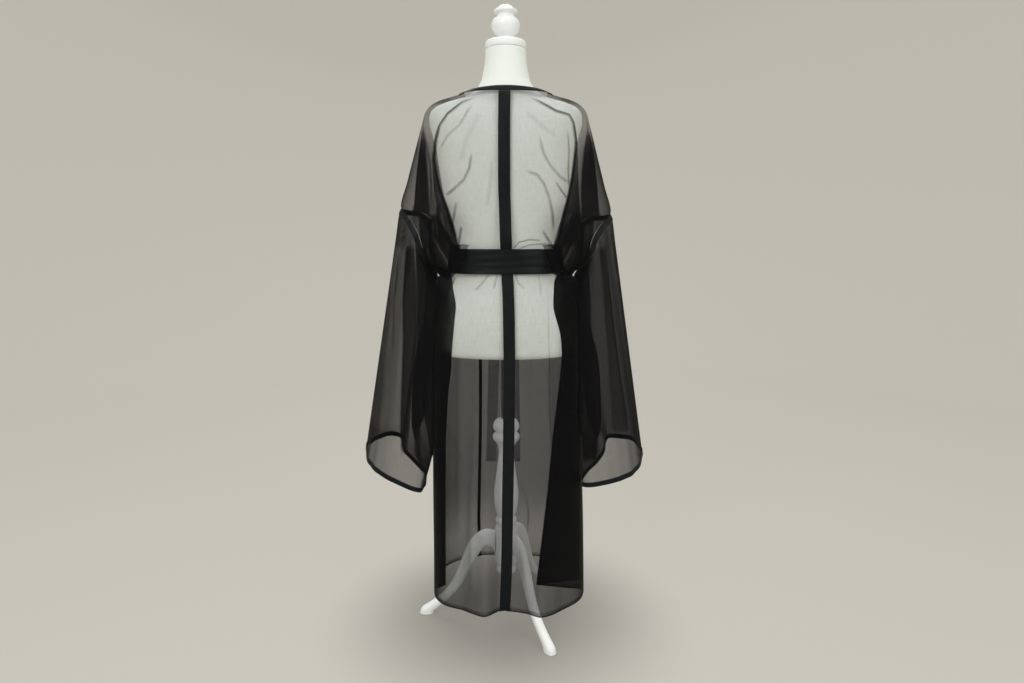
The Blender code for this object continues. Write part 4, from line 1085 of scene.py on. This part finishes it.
def creaseAt(crease, x, z):
    spans = len(crease.line) - 1
    nearest = foldShape["reach"]
    share = 0.0
    for index, ((ax, az), (bx, bz)) in enumerate(zip(crease.line, crease.line[1:])):
        run, rise = bx - ax, bz - az
        step = min(max(((x - ax) * run + (z - az) * rise) / (run * run + rise * rise), 0.0), 1.0)
        away = math.hypot(x - ax - run * step, z - az - rise * step) / crease.halfWidth
        if away < nearest:
            nearest = away
            share = (index + step) / spans
    if nearest >= foldShape["reach"]:
        return 0.0
    return math.exp(-nearest * nearest) * window(foldShape["creaseStart"], foldShape["creaseEnd"], share)


def bandAt(band, x, z):
    low, high = band.rows[0][0], band.rows[-1][0]
    if z <= low or z >= high:
        return 0.0
    for (lowZ, lowA, lowB), (highZ, highA, highB) in zip(band.rows, band.rows[1:]):
        if z <= highZ:
            share = (z - lowZ) / (highZ - lowZ)
            a, b = blend(lowA, highA, share), blend(lowB, highB, share)
            break
    soft = foldShape["edge"]
    ends = window((low, low + foldShape["bandStart"]), (high - foldShape["bandEnd"], high), z)
    return window((a - soft, a + soft), (b - soft, b + soft), x) * ends


def foldsAt(creases, bands, x, z):
    relief = 0.0
    layers = 0.0
    for crease, (lowX, highX, lowZ, highZ) in creases:
        if not (lowX < x < highX and lowZ < z < highZ):
            continue
        weight = creaseAt(crease, x, z)
        relief += crease.depth * weight
        layers += crease.layers * weight
    for band in bands:
        weight = bandAt(band, x, z)
        relief += band.depth * weight
        layers += band.layers * weight
    return max(relief, foldShape["deepestTrough"]), layers


# The grid with its creases, and how many more layers of cloth lie at each point.
def folded(grid, creases, bands, outward, closed=False, columns=None):
    last = columns or len(grid[0])
    creases = [(crease, boxOf(crease.line, crease.halfWidth * foldShape["boxReach"])) for crease in creases]
    moved = []
    layers = []
    for row, normals in zip(grid, gridNormals(grid, closed)):
        moved.append([])
        layers.append([])
        for j, (point, normal) in enumerate(zip(row, normals)):
            relief, more = foldsAt(creases, bands, point.x, point.z) if j < last else (0.0, 0.0)
            sign = -1.0 if normal.dot(outward) < 0 else 1.0
            moved[-1].append(point + normal * (relief * sign))
            layers[-1].append(more)
    return moved, layers


# How the cloth settles at the waist: the skirt springs outwards below the sash, the blousing sinks over it,
# and the sleeves lean on the hips.
settled = {
    "waist": 90.3,
    "spring": 3.2,
    "springReach": (9.0, 13.5),
    "springStart": (81.5, 88.6),
    "springEnd": (89.7, 90.3),
    "sink": 1.5,
    "sinkReach": (12.9, 13.8),
    "sinkEnd": (92.0, 98.0),
    "sleeveLean": 0.35,
    "leanReach": (19.6, 24.0),
    "leanStart": (68.0, 78.0),
    "leanEnd": (89.0, 93.0),
    "sideReach": (11.5, 15.0),
    "sideEnd": (88.0, 92.0),
    "frontHem": -0.6,
    "hemEnd": (14.0, 32.0),
    "hipStart": (68.0, 72.0),
}
# The layers of a side pleat, below and at the hips.
pleatLayers = {left: (1.8, 0.2), right: (1.0, 0.9)}


# The cloth stands off the form towards the sides of the hips.
def sideCover(point):
    below = 1 - smoothStep(*settled["sideEnd"], point.z)
    return coverAt(point) * (1 - smoothStep(*settled["sideReach"], abs(point.x)) * below)


def marksOf(grid, layers):
    return {"cover": [[sideCover(point) for point in row] for row in grid], "layers": layers}


def settle(point):
    reach = abs(point.x)
    if point.z > settled["waist"]:
        below = 1 - smoothStep(*settled["sinkEnd"], point.z)
        point.z -= settled["sink"] * smoothStep(*settled["sinkReach"], reach) * below
    else:
        out = smoothStep(*settled["springReach"], reach)
        out *= window(settled["springStart"], settled["springEnd"], point.z)
        point.x += math.copysign(settled["spring"] * out, point.x)
    return point


def sleeveLean(point):
    lean = 1 - smoothStep(*settled["leanReach"], abs(point.x))
    lean *= window(settled["leanStart"], settled["leanEnd"], point.z)
    point.x -= math.copysign(settled["sleeveLean"] * lean, point.x)
    return point


def rowStepsOf(rings, face):
    steps = []
    for below, above in zip(rings, rings[1:]):
        spacing = robe["skirtSpacing" if above.backZ < robe["skirtTop"] else "bodySpacing"][face]
        steps.append(max(robe["leastSteps"], round((above.backZ - below.backZ) / spacing)))
    return steps


rings = bodyRings()
panels = {}
for face, creases, bands in ((back, backCreases, backBands + wingBands), (front, frontCreases, wingBands)):
    rowSteps = rowStepsOf(rings, face)
    pleatRows = sum(rowSteps[: len(skirtRows) - robe["freePleatRows"]])
    for side in (left, right):
        name = f"{faceNames[face]}_{sideNames[side]}"
        smoothGrid = finer(panelGrid(rings, face, side), rowSteps, robe["columnSteps"][face])
        last = robe["panelColumns"] * robe["columnSteps"][face] + 1
        grid, layers = folded(smoothGrid, creases, bands, Vector((0.0, face, 0.0)))
        marks = marksOf(grid, layers)
        for i in range(pleatRows):
            grid[i][last:] = smoothGrid[i][last:]
            hip = smoothStep(*settled["hipStart"], smoothGrid[i][-1].z)
            layers[i][last:] = [blend(*pleatLayers[side], hip)] * (len(smoothGrid[i]) - last)
            marks["cover"][i][last:] = [0.0] * (len(smoothGrid[i]) - last)
        if face == front:
            for points, line in zip(grid, layers):
                for j in range(last):
                    line[j] += settled["frontHem"] * (1 - smoothStep(*settled["hemEnd"], points[j].z))
        for row in grid:
            for point in row:
                settle(point)
        panels[face, side] = grid
        piece = addSheet(
            name + "_cloth", grid, robe["clothWall"], organzaCloth,
            marks=marks,
        )
        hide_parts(name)
print("body panels made")

bandLift = robe["cadClothWall"] / 2 + robe["seamGap"] + robe["cadBandWall"] / 2
backward = Vector((0.0, 1.0, 0.3))
forward = Vector((0.0, -1.0, 0.2))


def addBand(name, grid, closed=False):
    piece = addSheet(name + "_satin", grid, robe["bandWall"], satinCloth, closed)
    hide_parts(name)
    return piece


def makePanelBands():
    steps = robe["columnSteps"][back]
    wholeBack = []
    for leftRow, rightRow in zip(panels[back, left], panels[back, right]):
        wholeBack.append(leftRow[:0:-1] + [leftRow[0].lerp(rightRow[0], 0.5)] + rightRow[1:])
    seam = len(wholeBack[0]) // 2
    neckRows = rowStepsOf(rings, back)[-1]
    strip = [row[seam - steps : seam + steps + 1] for row in wholeBack]
    centre = movedOut(strip, bandLift, outward=backward)
    addBand("band_centre_back", centre[:-neckRows])
    neck = movedOut(wholeBack[-neckRows - 1 :], bandLift, outward=backward)
    addBand("band_neck", neck)
    narrow = round(robe["columnSteps"][front] * robe["visibleEdgeBand"] / robe["edgeBand"])
    for side in (left, right):
        strip = movedOut([row[: narrow + 1] for row in panels[front, side]], bandLift, outward=forward)
        addBand(f"band_front_{sideNames[side]}", strip)


def makeSleeves():
    rows = robe["sleeveSteps"][0] + 1
    for side in (left, right):
        word = sideNames[side]
        smoothGrid = finer(sleeveGrid(rings, side), *robe["sleeveSteps"], closed=True)
        half = len(smoothGrid[0]) // 2 + 1
        fine, layers = folded(
            smoothGrid, sleeveCreases[side], sleeveBands[side], Vector((0.0, 1.0, 0.0)), True, half
        )
        leaning = [[sleeveLean(point) for point in row] for row in fine[rows:-rows]]
        fine = smoothGrid[:rows] + leaning + smoothGrid[-rows:]
        piece = addSheet(
            f"sleeve_{word}_cloth", fine, robe["clothWall"], organzaCloth,
            closed=True, marks=marksOf(fine, layers),
        )
        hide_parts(f"sleeve_{word}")
        outer = movedOut(fine, -side * bandLift, closed=True)
        addBand(f"band_armhole_{word}", outer[:rows], closed=True)
        addBand(f"band_cuff_{word}", outer[-rows:], closed=True)


makePanelBands()
makeSleeves()
print("bands and sleeves made")


sash = {
    "bottom": 90.1,
    "top": 96.0,
    "wall": 0.1,
    "cadWall": 0.24,
    "ease": 0.22,
    "frontEase": 0.2,
    "sides": 160,
    "rows": 36,
    "tailWidth": 2.9,
    "tailEnd": 36.0,
    "knotMiddle": 0.3,
    "knotHalfWidth": 2.6,
    "knotHalfHeight": 2.2,
    "knotDepth": 2.2,
    "tailTop": 90.6,
    "tailPinch": 0.72,
    "tailSpread": 0.55,
    "tailLayers": -0.2,
    "tailColumns": 4,
    "tailSteps": (8, 3),
    "tailCurl": 0.16,
    "tailWave": 0.07,
    "knotPower": 0.75,
    "knotRuck": 0.05,
}
tailHeights = [90.6, 88.6, 86.0, 80.0, 71.0, 61.0, 49.0, 36.0]
TailLine = namedtuple("TailLine", "topX endX")
tailLines = {"sash_tail_left": TailLine(1.75, 4.4), "sash_tail_right": TailLine(-1.15, -2.4)}


def sashRing(height, sides, lift):
    row = rowAt(skirtRows, height)
    power = 2 / robe["squareness"]["skirt"]
    ring = []
    for step in range(sides):
        angle = 2 * math.pi * step / sides
        extra = robe["overlapLift"] + sash["frontEase"]
        depth = row.back + lift if math.sin(angle) > 0 else row.front + lift + extra
        x = (row.left + lift) * math.copysign(abs(math.cos(angle)) ** power, math.cos(angle))
        y = depth * math.copysign(abs(math.sin(angle)) ** power, math.sin(angle))
        ring.append(Vector((x, y, height)))
    return ring


# The folded sash in section: a thin lip along the top, a main strip and a strip tucked under it.
sashFolds = {
    "crease": 0.3,
    "creaseWander": 0.6,
    "tuck": 0.1,
    "lip": 0.05,
    "lipAt": 0.87,
    "lipHalfWidth": 0.02,
    "lipWander": 0.3,
    "belly": 0.1,
    "dent": 0.07,
    "dentHalfWidth": 0.035,
    "ruck": 0.035,
}


def sashFold(share, around):
    wander = 0.05 * math.sin(around * 3) + 0.03 * math.sin(around * 7 + 1)
    crease = sashFolds["crease"] + wander * sashFolds["creaseWander"]
    tucked = -sashFolds["tuck"] * (1 - smoothStep(crease - 0.02, crease + 0.05, share))
    lipAway = share - sashFolds["lipAt"] - wander * sashFolds["lipWander"]
    lip = sashFolds["lip"] * math.exp(-((lipAway / sashFolds["lipHalfWidth"]) ** 2))
    belly = sashFolds["belly"] * math.sin(math.pi * min(max((share - crease) / (1 - crease), 0.0), 1.0))
    dent = -sashFolds["dent"] * math.exp(-(((share - crease) / sashFolds["dentHalfWidth"]) ** 2))
    ruck = sashFolds["ruck"] * math.sin(share * 21 + math.sin(around * 2) * 2)
    return tucked + lip + belly + dent + ruck


def makeSash():
    lift = robe["cadClothWall"] / 2 + robe["seamGap"] + sash["cadWall"] / 2 + sash["ease"]
    grid = []
    for i in range(sash["rows"] + 1):
        share = i / sash["rows"]
        ring = sashRing(blend(sash["bottom"], sash["top"], share), sash["sides"], lift)
        for j, point in enumerate(ring):
            outward = Vector((point.x, point.y, 0.0)).normalized()
            point += outward * sashFold(share, 2 * math.pi * j / sash["sides"])
        grid.append(ring)
    piece = addSheet(
        "sash_satin", grid, sash["wall"], satinCloth,
        closed=True,
    )
    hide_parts("sash")
    return -min(point.y for point in sashRing(92.0, 40, lift)) + sash["cadWall"] / 2 + robe["seamGap"]


def makeKnot(backY):
    shape = bmesh.new()
    bmesh.ops.create_uvsphere(shape, u_segments=48, v_segments=32, radius=1.0)
    middleZ = sash["tailTop"] + robe["seamGap"] + sash["knotHalfHeight"]
    for vert in shape.verts:
        p = vert.co
        squared = Vector([math.copysign(abs(v) ** sash["knotPower"], v) for v in p])
        wrap = 1 + sash["knotRuck"] * math.sin(p.x * 9 + math.sin(p.z * 3)) * (1 - abs(p.z))
        x = sash["knotMiddle"] + sash["knotHalfWidth"] * squared.x * wrap
        z = middleZ + sash["knotHalfHeight"] * squared.z
        y = -backY - sash["knotDepth"] / 2 + sash["knotDepth"] / 2 * squared.y * wrap
        vert.co = Vector((x, y, z))
    clothMap = shape.loops.layers.uv.new("cloth")
    for face in shape.faces:
        for loop in face.loops:
            loop[clothMap].uv = (loop.vert.co.x * cm, loop.vert.co.z * cm)
    piece = addPiece("sash_knot_satin", shape, satinCloth)
    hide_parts("sash_knot")


def makeTails(backY):
    for name, line in tailLines.items():
        grid = []
        for height in tailHeights:
            share = (sash["tailTop"] - height) / (sash["tailTop"] - sash["tailEnd"])
            depth = max(rowAt(skirtRows, height).front, backY) + sash["knotDepth"] / 2
            middle = blend(line.topX, line.endX, share ** sash["tailSpread"])
            half = sash["tailWidth"] / 2 * (sash["tailPinch"] if height == sash["tailTop"] else 1.0)
            row = []
            for column in range(sash["tailColumns"] + 1):
                x = blend(middle - half, middle + half, column / sash["tailColumns"])
                row.append(Vector((x, -depth, height)))
            grid.append(row)
        fine = finer(grid, *sash["tailSteps"])
        for i, row in enumerate(fine):
            down = i / (len(fine) - 1)
            for j, point in enumerate(row):
                across = j / (len(row) - 1) * 2 - 1
                point.y -= (
                    sash["tailCurl"] * math.cos(across * 2.6) * (1 - down)
                    + sash["tailWave"] * math.sin(across * 2 + down * 9)
                )
        same = {"cover": 0.0, "layers": sash["tailLayers"]}
        marks = {key: [[value] * len(row) for row in fine] for key, value in same.items()}
        piece = addSheet(
            name + "_cloth", fine, sash["wall"], organzaCloth,
            marks=marks,
        )
        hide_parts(name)


knotBack = makeSash()
makeKnot(knotBack)
makeTails(knotBack)
print("sash made")


studio = {
    "sides": 96,
    "wallSteps": 8,
    "wall": [(0.0, 0.0), (3.0, 0.0), (3.7, 0.12), (4.4, 0.55), (4.85, 1.3), (5.0, 2.4), (5.0, 6.0)],
    "paper": (0.278, 0.268, 0.246),
    "paperLight": (0.296, 0.283, 0.254),
    # Painted shadow on the paper round the stand: colour and glow fall to shadeDepth near the centre, back
    # to full by shadeOut metres.
    "shadeIn": 0.1,
    "shadeOut": 0.52,
    "shadeDepth": 0.5,
    "paperLooks": {"Roughness": 0.9, "Specular IOR Level": 0.0, "Emission Strength": 1.0},
    "sky": (0.5, 0.5, 0.49),
    "aim": (0.0, 0.0, 0.8),
    "lamps": [
        ("key", (1.9, 3.3, 3.0), 2.4, 66.0),
        ("fill", (-2.8, 2.9, 2.2), 2.4, 42.0),
        ("front", (0.4, -3.0, 4.3), 2.6, 60.0),
        ("above", (0.0, 0.4, 4.9), 2.8, 40.0),
    ],
}


def makeStudio():
    line = smoothLine([Vector((r, 0.0, z)) for r, z in studio["wall"]], studio["wallSteps"])
    shape = spun(line, studio["sides"])
    mesh = bpy.data.meshes.new("backdrop")
    shape.to_mesh(mesh)
    shape.free()
    mesh.shade_smooth()
    w = Wiring("paper")
    away = w.add("ShaderNodeVectorMath", operation="LENGTH")
    w.join(w.objectPoint(), away.inputs[0])
    away = away.outputs["Value"]
    # Painted shadow: the paper's colour and glow are darkened round the stand's foot, standing in for the
    # robe's shadow on the floor.
    paintedShadowFactor = w.spread(away, studio["shadeIn"], studio["shadeOut"], studio["shadeDepth"], 1.0, True)
    w.join(w.tint(paintedShadowFactor, (0.0, 0.0, 0.0), studio["paper"]), w.shader.inputs["Base Color"])
    w.join(w.tint(paintedShadowFactor, (0.0, 0.0, 0.0), studio["paperLight"]), w.shader.inputs["Emission Color"])
    w.give(studio["paperLooks"])
    mesh.materials.append(w.material)
    backdrop = linked("backdrop", mesh)
    world = bpy.data.worlds.new("studio")
    world.use_nodes = True
    sky = world.node_tree.nodes["Background"]
    sky.inputs["Color"].default_value = (*studio["sky"], 1.0)
    bpy.context.scene.world = world
    for name, place, size, power in studio["lamps"]:
        lamp = bpy.data.lights.new(name, "AREA")
        lamp.shape = "DISK"
        lamp.size = size
        lamp.energy = power
        lamp.cycles.use_multiple_importance_sampling = False
        lampObject = linked(name, lamp)
        lampObject.location = place
        aim = Vector(studio["aim"]) - Vector(place)
        lampObject.rotation_euler = aim.to_track_quat("-Z", "Y").to_euler()


makeStudio()
bpy.context.scene.view_settings.view_transform = "Standard"
bpy.context.scene.cycles.transparent_max_bounces = 64
print("studio made")
